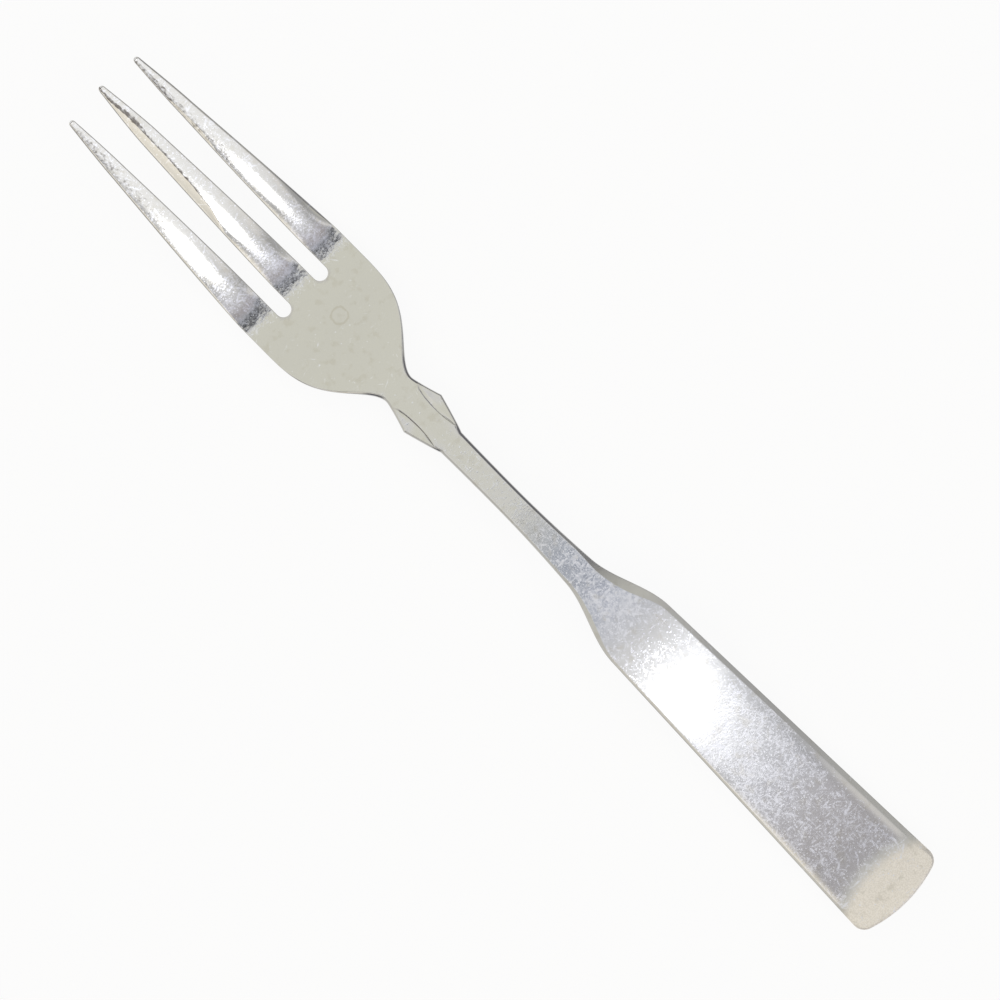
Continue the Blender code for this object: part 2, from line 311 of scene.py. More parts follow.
def bevel_fall(at, side):
    """How far the bevel falls on its way to the outline."""
    slope = along(at, ((BEVEL_STARTS, PALM_BEVEL_SLOPE), (BEVEL_SETTLES, NECK_BEVEL_SLOPE),
                       (FACET_STARTS, NECK_BEVEL_SLOPE), (FACET_FLATTENS, SHOULDER_BEVEL_SLOPE),
                       (at_band, GRIP_BEVEL_SLOPE), (at_band_end, GRIP_BEVEL_SLOPE),
                       (at_end_bevel, END_BEVEL_SLOPE)))
    return slope * bevel_reach(at, side)


print(f"bevel at the shoulder: right {SHOULDER_BEVELS[0]:.2f} mm, left {SHOULDER_BEVELS[1]:.2f} mm")

# %% [markdown]
# ## The rib between the ears
# At the ears the bevel turns into a fine groove, as if cut with a graver. It sets a rib in the
# middle of the neck apart from a flat leaf on each side, and the leaves are sunk by a hair.
# The functions here say how wide the rib is, and where ears, groove and leaves begin and end.

# %% Rib, groove and leaves
RIB_HALF = 1.95
RIB_END_HALF = 2.58
RIB_MIDDLE = 75.9
RIB_REACH = 4.75
RIB_FLARE_LIMIT = 1.3
EAR_ENDS = (0.9, 1.1)
GROOVE_ENDS = (0.8, 1.0)


def from_rib_middle(at):
    """0 half way along the rib, 1 at its two ends."""
    return abs(at - RIB_MIDDLE) / RIB_REACH


def ear_share(at):
    """1 on the ears, 0 elsewhere."""
    return 1.0 - smooth(share_of(from_rib_middle(at), *EAR_ENDS))


def groove_share(at):
    """1 along the groove beside the rib, fading to 0 at its two ends."""
    return 1.0 - smooth(share_of(from_rib_middle(at), *GROOVE_ENDS))


def leaf_share(at):
    """How far the leaf has sunk: 1 in the middle of the ears, 0 at their ends."""
    return 1.0 - smooth(from_rib_middle(at))


def rib_half(at):
    """Half width of the rib between the ears: an arc that bows in towards the middle."""
    return mix(RIB_HALF, RIB_END_HALF, min(RIB_FLARE_LIMIT, from_rib_middle(at) ** 2))


print(f"rib between the ears {2 * RIB_HALF:.1f} mm wide, ears {2 * EAR_HALF:.1f} mm across")

# %% [markdown]
# ## Height of the top face
# Across the fork the face is crowned a little. Towards the end of the grip its margins roll over
# more, on the right in a broad band and on the left in a narrow one. The roll can hardly be felt,
# but it looks at the walls of the room, and so it draws a pale line beside each bevel.

# %% Top of the body
RIM = 0.12
CROWN_GROWS_PAST = 20.0
MARGIN_BANDS = {RIGHT: 2.4, LEFT: 1.3}
MARGIN_SLOPES = {RIGHT: 0.25, LEFT: 0.17}
MARGIN_GROWS = (136.0, 168.0)
MARGIN_FADES = (183.0, 189.0)


def margin_roll(at, across, half):
    """Extra fall near the sides of the grip."""
    side = LEFT if across > 0.0 else RIGHT
    band = MARGIN_BANDS[side]
    face = half - RIM - bevel_reach(at, side)
    into_band = min(1.0, max(0.0, (abs(across) - face + band) / band))
    grown = smooth(share_of(at, *MARGIN_GROWS)) * (1.0 - smooth(share_of(at, *MARGIN_FADES)))
    return 0.5 * MARGIN_SLOPES[side] * band * grown * into_band**2


def body_top(at, across):
    """Height of the top face at a point of the body."""
    half = body_half(min(at, at_corner))
    crown = CROWN * smooth(share_of(at, at_slots, at_waist + CROWN_GROWS_PAST))
    inside = min(1.0, abs(across) / half)
    height = top_line(at) + end_turn(at, across) + crown * (1.0 - inside**2)
    return height - margin_roll(at, across, half)


def body_bottom(at, across):
    return underside(at) + end_turn(at, across)


print(f"top at the slots {body_top(at_slots, 0.0):.2f} mm")
print(f"top at the crest {body_top(at_crest, 0.0):.2f} mm")

# %% [markdown]
# ## Section of an edge
# Every edge of the fork is the same small ribbon: the bevel, a rounded rim, the side wall, and the
# eased heel underneath. It could be left to a Bevel modifier, but a ribbon built with the skin
# keeps its width where it should and can carry the groove of the ears.

# %% Rim, wall and heel
ROUND_STEPS = (1.0 / 3.0, 2.0 / 3.0, 1.0)
HEEL = 0.45


def bend(start, corner, stop, share):
    """Point on the rounded corner between two straight runs."""
    a, b, c = (1.0 - share) ** 2, 2.0 * share * (1.0 - share), share**2
    return tuple(a * p + b * q + c * r for p, q, r in zip(start, corner, stop))


def rim_to_heel(edge, normal, rim_start, slope, rim, heel, bottom_of):
    """Rim, wall and heel below a point of the outline. Points are (station, across, height)."""
    at, across = edge
    corner = (at, across, rim_start[2] - slope * rim)
    wall_top = (at, across, corner[2] - rim)
    bottom = bottom_of(at, across)
    wall_foot = (at, across, bottom + heel)
    inner = (at - heel * normal[0], across - heel * normal[1])
    heel_end = (*inner, bottom_of(*inner))
    points = [bend(rim_start, corner, wall_top, share) for share in ROUND_STEPS]
    points.append(tuple(mix(p, q, 0.5) for p, q in zip(wall_top, wall_foot)))
    points.append(wall_foot)
    return points + [bend(wall_foot, (at, across, bottom), heel_end, share) for share in ROUND_STEPS]


print(2 * len(ROUND_STEPS) + 2, "points from the rim to the heel")

# %% [markdown]
# The bevel comes before the rim. At the ears its inner crease moves in to the rib and becomes the
# groove, the bevel itself shrinks to a narrow rim, and the points between them lie on the leaf.

# %% Bevel, groove and leaf
BEVEL_STEPS = (0.0, 0.03, 0.07, 0.11, 0.35, 0.65, 0.92, 1.0)
GROOVE_STEPS = (0.0, 0.6, 1.0, 0.3, 0.0, 0.0, 0.0, 0.0)
GROOVE_POINTS = 4
GROOVE_WIDTH = 0.11
GROOVE_DEPTH = 0.15
LEAF_DEPTH = 0.1
LEAF_ROOM = 0.5
LEAF_RIM = 0.2
LEAF_RIM_SLOPE = 0.75
WIDEST_RIM = 0.6
RIM_SUPPORT = 1.4


def leaf_steps(rim_share):
    """Steps across the leaf of an ear, close together at the groove and where the rim falls."""
    rim_share = min(WIDEST_RIM, rim_share)
    flat_end = 1.0 - RIM_SUPPORT * rim_share
    flat_middle = mix(GROOVE_WIDTH, flat_end, 0.5)
    return (*BEVEL_STEPS[:GROOVE_POINTS], flat_middle, flat_end, 1.0 - rim_share, 1.0)


def body_edge(at, across, normal, side, station):
    """Ribbon of the body's edge, from the crease of the bevel to the flat of the underside."""
    reach = bevel_reach(station, side)
    fall = bevel_fall(station, side)
    ear = ear_share(station)
    rim_point = (at - RIM * normal[0], across - RIM * normal[1])
    crease = (at - (RIM + reach) * normal[0], across - (RIM + reach) * normal[1])
    leaf = (station, side * min(rib_half(station), abs(rim_point[1])))
    crease = tuple(mix(p, q, ear) for p, q in zip(crease, leaf))
    width = math.dist(crease, rim_point)
    rim_reach = mix(reach, LEAF_RIM, ear)
    rim_slope = mix(fall / reach, LEAF_RIM_SLOPE, ear)
    room = ear * min(1.0, width / LEAF_ROOM)
    level = LEAF_DEPTH * leaf_share(station) * room
    groove = GROOVE_DEPTH * groove_share(station) * room
    leaf_at = leaf_steps(rim_reach / max(width, MM))
    points = []
    for plain, gathered, dip in zip(BEVEL_STEPS, leaf_at, GROOVE_STEPS):
        share = mix(plain, gathered, ear)
        place = tuple(mix(p, q, share) for p, q in zip(crease, rim_point))
        drop = level * smooth(share / GROOVE_WIDTH) + groove * dip
        rim_fall = rim_slope * max(0.0, rim_reach - (1.0 - share) * width)
        points.append((*place, body_top(*place) - drop - rim_fall))
    slope = mix(fall / max(reach, RIM), LEAF_RIM_SLOPE, ear)
    return points + rim_to_heel((at, across), normal, points[-1], slope, RIM, HEEL, body_bottom)


print(len(BEVEL_STEPS) + 2 * len(ROUND_STEPS) + 2, "points across an edge")

# %% [markdown]
# ## Rings around the body
# The body is lofted: a ring of points is laid around it at many stations, and each ring is bridged
# to the next. A ring runs over the top face from right to left, down the left edge, back under the
# fork, and up the right edge. Its points across the face fit those of the three tines.

# %% One ring of the body
OUTER_CELLS = 8
MIDDLE_CELLS = 10
SLOT_WIDTH = 2.75
SLOT_RIM = 0.16
CREASE_SUPPORT = 0.16

slot_radius = 0.5 * SLOT_WIDTH
tine_root_width = (head_width - 2.0 * SLOT_WIDTH) / 3.0
root_pitch = tine_root_width + SLOT_WIDTH
slot_middle = 0.5 * root_pitch
at_join = at_slots + SLOT_RIM
middle_share = slot_middle / (head_half - RIM - bevel_reach(at_join, LEFT))


def row_shares(half):
    """Places across a row, from -1 to 1, with a close pair at each crease."""
    support = 1.0 - CREASE_SUPPORT / half
    outer = [mix(middle_share, support, k / (OUTER_CELLS - 1)) for k in range(OUTER_CELLS)] + [1.0]
    inner = [middle_share * (2.0 * k / MIDDLE_CELLS - 1.0) for k in range(1, MIDDLE_CELLS)]
    return [-share for share in reversed(outer)] + inner + outer


def outline_normal(at):
    """Outward direction of the left outline, as (along, across)."""
    tiny = 0.02
    slope = (body_half(at + tiny) - body_half(at - tiny)) / (2.0 * tiny)
    size = math.hypot(slope, 1.0)
    return -slope / size, 1.0 / size


def arc_sag(across):
    return GRIP_END_RADIUS - math.sqrt(GRIP_END_RADIUS**2 - across**2)


def row_between(right_end, left_end, shares, arc, height):
    """Row of points between two edges, bent into the end arc by the given share."""
    start = right_end[0] + arc * arc_sag(right_end[1])
    stop = left_end[0] + arc * arc_sag(left_end[1])
    row = []
    for share in shares:
        across = mix(right_end[1], left_end[1], 0.5 * (share + 1.0))
        at = mix(start, stop, 0.5 * (share + 1.0)) - arc * arc_sag(across)
        row.append((at, across, height(at, across)))
    return [right_end] + row[1:-1] + [left_end]


def body_ring(at, across, normal, arc):
    """One ring of the body. Arc is 0 for a straight row and 1 for a row on the end arc."""
    left = body_edge(at, across, normal, LEFT, at)
    right = body_edge(at, -across, (normal[0], -normal[1]), RIGHT, at)
    shares = row_shares(0.5 * (left[0][1] - right[0][1]))
    return {"station": at, "left": left, "right": right,
            "top": row_between(right[0], left[0], shares, arc, body_top),
            "bottom": row_between(right[-1], left[-1], shares, arc, body_bottom)}


print(len(row_shares(head_half)), "points across a row, slots", SLOT_WIDTH, "mm wide")

# %% [markdown]
# The rings lie closest at the ears, where the outline changes most. Near the end of the grip the
# rows bend more and more into the arc of that end, so that the last row lies on it. A fan of rings
# goes round the two corners.

# %% Rings along the body
CORNER_STEPS = 9
ARC_GROWS_OVER = 16.0
ARC_IS_FULL_PAST = 1.0
RING_STEPS = ((at_join, 0.6), (at_neck, 0.4), (at_ears, 0.34), (at_shank, 0.8),
              (at_shoulder, 0.6), (at_corner, 0.0))


def spaced(first, last, step):
    """Even stations from first up to last, at most a step apart."""
    count = max(1, math.ceil((last - first) / step))
    return [mix(first, last, k / count) for k in range(count)]


def arc_share(at):
    """How far a row is bent into the end arc: 0 on the grip, 1 just past its corners."""
    return smooth(share_of(at, at_corner - ARC_GROWS_OVER, at_corner + ARC_IS_FULL_PAST))


body_rings = []
for (start, step), (stop, _) in zip(RING_STEPS, RING_STEPS[1:]):
    for at in spaced(start, stop, step):
        body_rings.append(body_ring(at, body_half(at), outline_normal(at), arc_share(at)))
for k in range(CORNER_STEPS + 1):
    turn = mix(0.5 * math.pi, corner_angle, k / CORNER_STEPS)
    normal = (math.cos(turn), math.sin(turn))
    at = at_corner + GRIP_CORNER_RADIUS * normal[0]
    across = corner_offset + GRIP_CORNER_RADIUS * normal[1]
    arc = arc_share(at) if k < CORNER_STEPS else 1.0
    body_rings.append(body_ring(at, across, normal, arc))
print(len(body_rings), "rings around the body, rows of", len(body_rings[0]["top"]), "points")

# %% [markdown]
# ## Tines
# Each tine swells from a blunt point to the width of its root. Its top is crowned across, steeper
# towards the right. On the middle tine the left half is ground to a flat facet with a crisp ridge,
# and the right tine has a sliver of the same facet. The crown grows out of the flat palm, and at the
# roots the edges roll over, most on the right. A dark gap in the room shows up there as a band,
# and the rolled edges bend the band round like a fingernail.

# %% Section of a tine
TIP_WIDTH = 1.0
POINT_LENGTH = 11.0
MIDDLE_POINT_WIDTH = 3.4
OUTER_POINT_WIDTH = 2.8
POINT_CURVE = 1.25
SHAFT_CURVE = 1.3
TIP_PITCH = 7.4
NOSE_LENGTH = 0.6
CROWN_STARTS = 45.5
CROWN_IS_FULL = 34.0
RIGHT_CURVE = {LEFT: 0.065, 0: 0.12, RIGHT: 0.13}
LEFT_CURVE = {LEFT: 0.055, 0: 0.06, RIGHT: 0.07}
FACET_SLOPE = 0.24
RIGHT_ROLL = 0.4
LEFT_ROLL = {LEFT: 0.0, 0: 0.09, RIGHT: 0.07}
ROLL_STARTS = 0.45
ROLL_STOPS = ((26.0, 0.0), (38.8, 1.0), (43.8, 0.0))
RIDGES = {
    0: ((1.5, 0.6), (7.0, 0.1), (14.0, 0.12), (20.0, 0.25), (25.0, 0.42), (28.5, 0.72), (30.5, 1.0)),
    RIGHT: ((7.0, 1.0), (11.0, 0.62), (16.0, 0.6), (21.0, 1.0)),
}


def tine_half(at, side):
    """Half width of a tine: a curved point, then a curved shaft that swells to the root."""
    tip = outer_tip_setback * abs(side)
    point_width = OUTER_POINT_WIDTH if side else MIDDLE_POINT_WIDTH
    if at >= tip + POINT_LENGTH:
        to_root = max(0.0, share_of(at, at_tines, tip + POINT_LENGTH))
        return 0.5 * mix(tine_root_width, point_width, to_root**SHAFT_CURVE)
    point = 1.0 - (1.0 - (at - tip) / POINT_LENGTH) ** POINT_CURVE
    return 0.5 * mix(TIP_WIDTH, point_width, point)


def tine_middle(at, side):
    return side * mix(TIP_PITCH, root_pitch, min(1.0, at / at_tines))


def ridge(at, side):
    """Place of the ridge between crown and facet, as a share of the half width. 1 means no facet."""
    return along(at, RIDGES[side]) if side in RIDGES else 1.0


def tine_top(at, across, side):
    """Height of a tine's top: its crown, and the facet on its left."""
    grown = smooth(share_of(at, CROWN_STARTS, CROWN_IS_FULL))
    if grown == 0.0:
        return body_top(at, across)
    half = tine_half(at, side)
    off = (across - tine_middle(at, side)) / half
    curve = (RIGHT_CURVE if off < 0.0 else LEFT_CURVE)[side] * off**2
    facet = FACET_SLOPE * max(0.0, off - ridge(at, side))
    edge = max(0.0, (abs(off) - ROLL_STARTS) / (1.0 - ROLL_STARTS))
    roll = (RIGHT_ROLL if off < 0.0 else LEFT_ROLL[side]) * edge**2 * along(at, ROLL_STOPS)
    return top_line(at) + grown * (CROWN - half * (curve + facet)) - roll


def flat_bottom(at, across):
    """Underside of a tine, which is level across."""
    return underside(at)


print(f"roots {tine_root_width:.2f} mm wide, {root_pitch:.2f} mm apart")

# %% [markdown]
# A tine has the same edge ribbon as the body. The outer edges of the head carry on the bevel of the
# palm, and the edges at the slots have a rounded rim only. Rims and heels shrink with the tine, so
# that they never meet in the middle of a slim tip.

# %% Edge of a tine
OUTER_TINE_RIM = 0.2
INNER_TINE_RIM = 0.22
TINE_RIM_END = 30.0
RIM_LIMIT = 0.3
REACH_LIMIT = 0.2


def tine_edge(at, across, normal, side, outer, station):
    """Ribbon of a tine's edge: an outer edge keeps the points of the body's bevel."""
    half = tine_half(station, side)
    tine_rim, root_rim = (OUTER_TINE_RIM, RIM) if outer else (INNER_TINE_RIM, SLOT_RIM)
    rim = along(station, ((TINE_RIM_END, tine_rim), (at_tines, root_rim)))
    rim = min(RIM_LIMIT * half, rim)
    heel = min(RIM_LIMIT * half, HEEL)
    reach = min(REACH_LIMIT * half, bevel_reach(station, normal[1])) if outer else 0.0
    fall = bevel_fall(station, normal[1]) if outer else 0.0
    points = []
    for share in BEVEL_STEPS if outer else (1.0,):
        inset = rim + reach * (1.0 - share)
        place = (at - inset * normal[0], across - inset * normal[1])
        points.append((*place, tine_top(*place, side) - fall * share))
    slope = fall / max(reach, RIM)
    return points + rim_to_heel((at, across), normal, points[-1], slope, rim, heel, flat_bottom)


print(f"rims of the tines {OUTER_TINE_RIM:.2f} mm outside, {INNER_TINE_RIM:.2f} mm at the slots")

# %% [markdown]
# The points of a row lie evenly across a tine, but three of them are drawn to the ridge beside the
# facet. A ridge between two evenly spaced points would be cut off and come out blunt.

# %% Rows across a tine
SUPPORT_LIMIT = 0.15
RIDGE_ROUND = 0.2
RIDGE_MARGIN = 0.1


def gather(spots, at, side):
    """Draw three points of a row to the ridge of the tine, and share out the others evenly."""
    if side not in RIDGES:
        return spots
    low, high = spots[0], spots[-1]
    room = RIDGE_MARGIN * (high - low)
    target = tine_middle(at, side) + ridge(at, side) * tine_half(at, side)
    target = min(high - room, max(low + room, target))
    close = min(RIDGE_ROUND, 0.5 * room)
    count, at_ridge = len(spots) - 1, len(spots) // 2
    knots = ((0, low), (at_ridge - 1, target - close), (at_ridge, target),
             (at_ridge + 1, target + close), (count, high))
    drawn = []
    for k in range(count + 1):
        spans = zip(knots, knots[1:])
        (start, below), (stop, above) = next(span for span in spans if k <= span[1][0])
        drawn.append(mix(below, above, (k - start) / (stop - start)))
    pull = 1.0 - smooth(share_of(at, RIDGES[side][-1][0], at_tines))
    return [mix(spot, other, pull) for spot, other in zip(spots, drawn)]


def tine_row(right_end, left_end, side, height):
    """Row of points across a tine, with a close pair at an outer crease."""
    support = min(CREASE_SUPPORT, SUPPORT_LIMIT * (left_end[1] - right_end[1]))
    cells = OUTER_CELLS - 1 if side else MIDDLE_CELLS
    low = right_end[1] + (support if side == RIGHT else 0.0)
    high = left_end[1] - (support if side == LEFT else 0.0)
    spots = [mix(low, high, k / cells) for k in range(cells + 1)]
    spots = gather(spots, 0.5 * (right_end[0] + left_end[0]), side)
    if side == RIGHT:
        spots.insert(0, right_end[1])
    if side == LEFT:
        spots.append(left_end[1])
    row = []
    for across in spots:
        at = mix(right_end[0], left_end[0], (across - right_end[1]) / (left_end[1] - right_end[1]))
        row.append((at, across, height(at, across)))
    return [right_end] + row[1:-1] + [left_end]


print("ridges on", len(RIDGES), "of the tines")

# %% [markdown]
# The rings of a tine run on into its stub, round the half circle at the bottom of the slot. There
# the edge of the slot turns from facing sideways to facing the tips, and the rings turn with it, so
# that the last rings of the three tines together are the first ring of the palm.

# %% Rings of a tine
TINE_STEP = 0.6
STUB_STEP = 0.5
SLOT_STEPS = 9

at_slot_centre = at_slots - slot_radius


def tine_ring(at, side, turn=0.0):
    """One ring of a tine. Turn goes from 0 to a quarter round the bottom of the slot."""
    row_at = at if turn == 0.0 else at_slot_centre + (slot_radius + SLOT_RIM) * math.sin(turn)
    edges = {}
    for name, hand in (("left", LEFT), ("right", RIGHT)):
        outer = hand == side
        if outer or turn == 0.0:
            place = (row_at, tine_middle(at, side) + hand * tine_half(at, side))
            normal = (0.0, hand)
        else:
            normal = (-math.sin(turn), hand * math.cos(turn))
            slot = side * root_pitch + hand * slot_middle
            place = (at_slot_centre - slot_radius * normal[0], slot - slot_radius * normal[1])
        edges[name] = tine_edge(*place, normal, side, outer, row_at)
    left, right = edges["left"], edges["right"]

    def height(x, y):
        return tine_top(x, y, side)

    return {"station": row_at, "left": left, "right": right,
            "top": tine_row(right[0], left[0], side, height),
            "bottom": tine_row(right[-1], left[-1], side, flat_bottom)}


tine_rings = {}
for side in (LEFT, 0, RIGHT):
    tip = outer_tip_setback * abs(side)
    spots = spaced(tip + NOSE_LENGTH, at_tines, TINE_STEP)
    spots += spaced(at_tines, at_slot_centre, STUB_STEP)
    turns = [0.5 * math.pi * k / SLOT_STEPS for k in range(SLOT_STEPS + 1)]
    tine_rings[side] = [tine_ring(at, side) for at in spots]
    tine_rings[side] += [tine_ring(at_slot_centre, side, turn) for turn in turns]
print("rings on each tine:", [len(rings) for rings in tine_rings.values()])

# %% [markdown]
# ## One skin
# All rings become one closed mesh. Neighbouring rings are bridged with faces, and every face is told
# which region of the fork it belongs to. The points of the tips are rounded by shrinking the first
# rings towards the middle of the steel. The tines and the body could be separate meshes, but only
# one skin gives reflections that run on from the tines into the palm.

# %% Bridge the rings
NOSE_SHARES = (0.03, 0.12, 0.3, 0.55, 0.8)
REGIONS = ("tine_left", "tine_middle", "tine_right", "tine_root", "neck", "shank", "handle")
TINE_NAMES = {LEFT: "tine_left", 0: "tine_middle", RIGHT: "tine_right"}

skin = bmesh.new()
region_of = skin.faces.layers.int.new("region")


def to_world(point):
    at, across, height = point
    return (tip_x - at) * MM, across * MM, height * MM


def add_loop(ring):
    """Points once around a ring: over the top, down the left, back below, up the right."""
    around = ring["top"] + ring["left"][1:-1] + ring["bottom"][::-1] + ring["right"][-2:0:-1]
    return [skin.verts.new(to_world(point)) for point in around]


def bridge(loop, following, region):
    for k in range(len(loop)):
        face = skin.faces.new((loop[k - 1], loop[k], following[k], following[k - 1]))
        face[region_of] = REGIONS.index(region)


def nose_ring(side, share):
    """Ring near a tip, shrunk to follow a rounded nose."""
    at = outer_tip_setback * abs(side) + NOSE_LENGTH * share
    size = math.sqrt(1.0 - (1.0 - share) ** 2)
    centre = (at, tine_middle(at, side), 0.5 * (underside(at) + top_line(at)))
    ring = tine_ring(at, side)
    for part in ("top", "left", "bottom", "right"):
        ring[part] = [tuple(mix(c, p, size) for c, p in zip(centre, point)) for point in ring[part]]
    return ring


def body_region(at):
    if at < at_neck:
        return "tine_root"
    if at < at_shank:
        return "neck"
    return "shank" if at < at_shoulder else "handle"


for side, rings in tine_rings.items():
    rings = [nose_ring(side, share) for share in NOSE_SHARES] + rings
    loops = [add_loop(ring) for ring in rings]
    skin.faces.new(loops[0])[region_of] = REGIONS.index(TINE_NAMES[side])
    for ring, loop, following in zip(rings, loops, loops[1:]):
        bridge(loop, following, TINE_NAMES[side] if ring["station"] < at_tines - MM else "tine_root")

stub_ends = [tine_rings[side][-1] for side in (RIGHT, 0, LEFT)]
first_ring = {"station": at_join, "left": stub_ends[2]["left"], "right": stub_ends[0]["right"]}
for row in ("top", "bottom"):
    first_ring[row] = stub_ends[0][row] + stub_ends[1][row][1:] + stub_ends[2][row][1:]
body_rings[0] = first_ring
loops = [add_loop(ring) for ring in body_rings]
for ring, loop, following in zip(body_rings, loops, loops[1:]):
    bridge(loop, following, body_region(ring["station"] + MM))
print(len(skin.faces), "faces between the rings")

# %% [markdown]
# The end of the grip is closed by the same edge ribbon as the sides, laid along the end arc. Then
# points that fall on each other are merged, and a count of open edges tells whether the skin is
# watertight.

# %% Close the end of the grip
MERGE = 2.0e-7

last = body_rings[-1]
columns = [last["right"]]
for upper, lower in zip(last["top"][1:-1], last["bottom"][1:-1]):
    radius = math.hypot(upper[0] - at_end_centre, upper[1])
    normal = ((upper[0] - at_end_centre) / radius, upper[1] / radius)
    edge = body_edge(at_end_centre + GRIP_END_RADIUS * normal[0], GRIP_END_RADIUS * normal[1],
                     normal, upper[1] / last["left"][0][1], length)
    columns.append([upper] + edge[1:-1] + [lower])
columns.append(last["left"])
columns = [[skin.verts.new(to_world(point)) for point in column] for column in columns]
for column, following in zip(columns, columns[1:]):
    for k in range(1, len(column)):
        face = skin.faces.new((column[k - 1], column[k], following[k], following[k - 1]))
        face[region_of] = REGIONS.index("handle")

bmesh.ops.remove_doubles(skin, verts=skin.verts, dist=MERGE)
bmesh.ops.recalc_face_normals(skin, faces=skin.faces)
skin.normal_update()
open_edges = sum(1 for edge in skin.edges if not edge.is_manifold)
print(len(skin.faces), "faces in the skin,", open_edges, "open edges")

# %% [markdown]
# ## Where darkening is painted
# The grooves of the ears get painted shade, and a dark band runs along the left of each tine towards
# its tip. On the middle tine it follows the ridge, and there it is a painted reflection of a dark zone
# of the room. Both belong to places on the shape, so they are stored with the points of the skin, as
# a number from 0 to 1. It could be painted by hand as a vertex colour, but a rule gives the same
# result every time. The material turns the number into dark specks later on.

# %% Painted darkening on the skin
FIRST_STATION = 1.0
# Painted shade along the grooves of the ears, stronger on the left
GROOVE_PAINTED_SHADE = {LEFT: 1.0, RIGHT: 0.45}
GROOVE_SPAN = (0.02, 0.09)
# Dark band along the left of each tine: on the middle tine a painted dark reflection along the ridge
DARK_BAND_MIDDLE = {LEFT: 0.25, RIGHT: 0.5}
DARK_BAND_WIDTH = {LEFT: 0.8, 0: 0.2, RIGHT: 0.6}
DARK_BAND_AMOUNT = {LEFT: 0.475, 0: 0.69, RIGHT: 0.535}
DARK_BAND_END = 29.0
DARK_BAND_FADE = ((0.5, 0.9), (3.0, 1.0), (7.0, 1.0), (13.0, 0.85), (22.0, 0.85), (26.0, 0.5),
                (DARK_BAND_END, 0.0))
DARK_BAND_SPREAD = ((0.0, 2.6), (6.0, 2.2), (11.0, 1.0), (DARK_BAND_END, 0.7))


def groove_painted_shade(at, across):
    """Painted shade in the groove of an ear."""
    leaf = body_half(min(at, at_corner)) - RIM - rib_half(at)
    low, high = (share * leaf for share in GROOVE_SPAN)
    if ear_share(at) > 0.0 and low < abs(across) - rib_half(at) < high:
        return groove_share(at) * GROOVE_PAINTED_SHADE[LEFT if across > 0.0 else RIGHT]
    return 0.0


def tine_dark_band(at, across):
    """Dark band along a tine, full over half of its width and fading out on both sides. On the middle
    tine it follows the ridge as a painted dark reflection.
    """
    side = round(across / root_pitch)
    off = (across - tine_middle(at, side)) / tine_half(max(at, FIRST_STATION), side)
    width = DARK_BAND_WIDTH[side]
    if side == 0:
        width *= along(at, DARK_BAND_SPREAD)
    middle = DARK_BAND_MIDDLE[side] if side else ridge(at, side) - 0.5 * width
    share = max(0.0, min(1.0, 2.0 - 2.0 * abs(off - middle) / width))
    return DARK_BAND_AMOUNT[side] * share * along(at, DARK_BAND_FADE)


# Painted darkening: painted shade in the ear grooves, a painted dark reflection on the middle tine's
# ridge, a dark band on the outer tines
painted_darkening = skin.verts.layers.float.new("painted_darkening")
for vert in skin.verts:
    at = tip_x - vert.co.x / MM
    across = vert.co.y / MM
    if vert.normal.z > 0.0:
        vert[painted_darkening] = tine_dark_band(at, across) if at < DARK_BAND_END else groove_painted_shade(at, across)
darkened_points = sum(1 for vert in skin.verts if vert[painted_darkening] > 0.0)
print(darkened_points, "points with dirt or tarnish on them")

# %% [markdown]
# ## Seven pieces
# The library wants the fork in named pieces, and the CAD nodes are its seven regions. The skin is
# parted at the rings where those regions meet. Each piece is closed with a hidden cap, and keeps
# the normals of the whole skin, so that a reflection runs across a joint without a seam.

# %% Part the skin
skin_normal = skin.verts.layers.float_vector.new("skin_normal")
for vert in skin.verts:
    vert[skin_normal] = vert.normal


def part_region(name):
    """Copy one region of the skin to a mesh of its own, with caps where it was parted."""
    part = skin.copy()
    layer = part.faces.layers.int["region"]
    others = [face for face in part.faces if face[layer] != REGIONS.index(name)]
    bmesh.ops.delete(part, geom=others, context="FACES")
    rim = [edge for edge in part.edges if edge.is_boundary]
    caps = bmesh.ops.holes_fill(part, edges=rim, sides=0)["faces"]
    for face in part.faces:
        face.smooth = True
        face[layer] = 0
    for face in caps:
        face[layer] = 1
    bmesh.ops.recalc_face_normals(part, faces=part.faces)
    mesh = bpy.data.meshes.new(name + "_steel")
    part.to_mesh(mesh)
    part.free()
    return mesh


def keep_skin_normals(mesh):
    """Give every corner the normal of the whole skin, and a cap its own flat normal."""
    stored = [tuple(item.vector) for item in mesh.attributes["skin_normal"].data]
    is_cap = [item.value for item in mesh.attributes["region"].data]
    corners = []
    for face in mesh.polygons:
        for vertex in face.vertices:
            corners.append(tuple(face.normal) if is_cap[face.index] else stored[vertex])
    mesh.attributes.remove(mesh.attributes["skin_normal"])
    mesh.attributes.remove(mesh.attributes["region"])
    mesh.normals_split_custom_set(corners)


pieces = {}
for name in REGIONS:
    mesh = part_region(name)
    keep_skin_normals(mesh)
    piece = bpy.data.objects.new(name + "_steel", mesh)
    bpy.context.collection.objects.link(piece)
    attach(piece, "root")
    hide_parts(name)
    pieces[name] = piece
    print(piece.name, len(mesh.polygons), "faces")
skin.free()

# %% [markdown]
# ## Worn polish
# Polished steel in daily use is a mirror with a veil of wear on it: short curved hairlines in every
# direction, specks and tiny dents, and a few dried water marks. None of these change the colour
# much. They scatter light, so they show up pale on a dark reflection and grey on a bright one.
# Each effect is a node group that gives a mask, and the material turns the masks into roughness,
# relief and a little colour. A picture of scratches could do the same, but a pattern made of nodes
# has no seam and stays sharp however close the view is.
# The helpers below add one node each. A socket knows the node tree that it belongs to, so a formula
# can be written like plain arithmetic, without naming the tree every time.

# %% Arithmetic with nodes


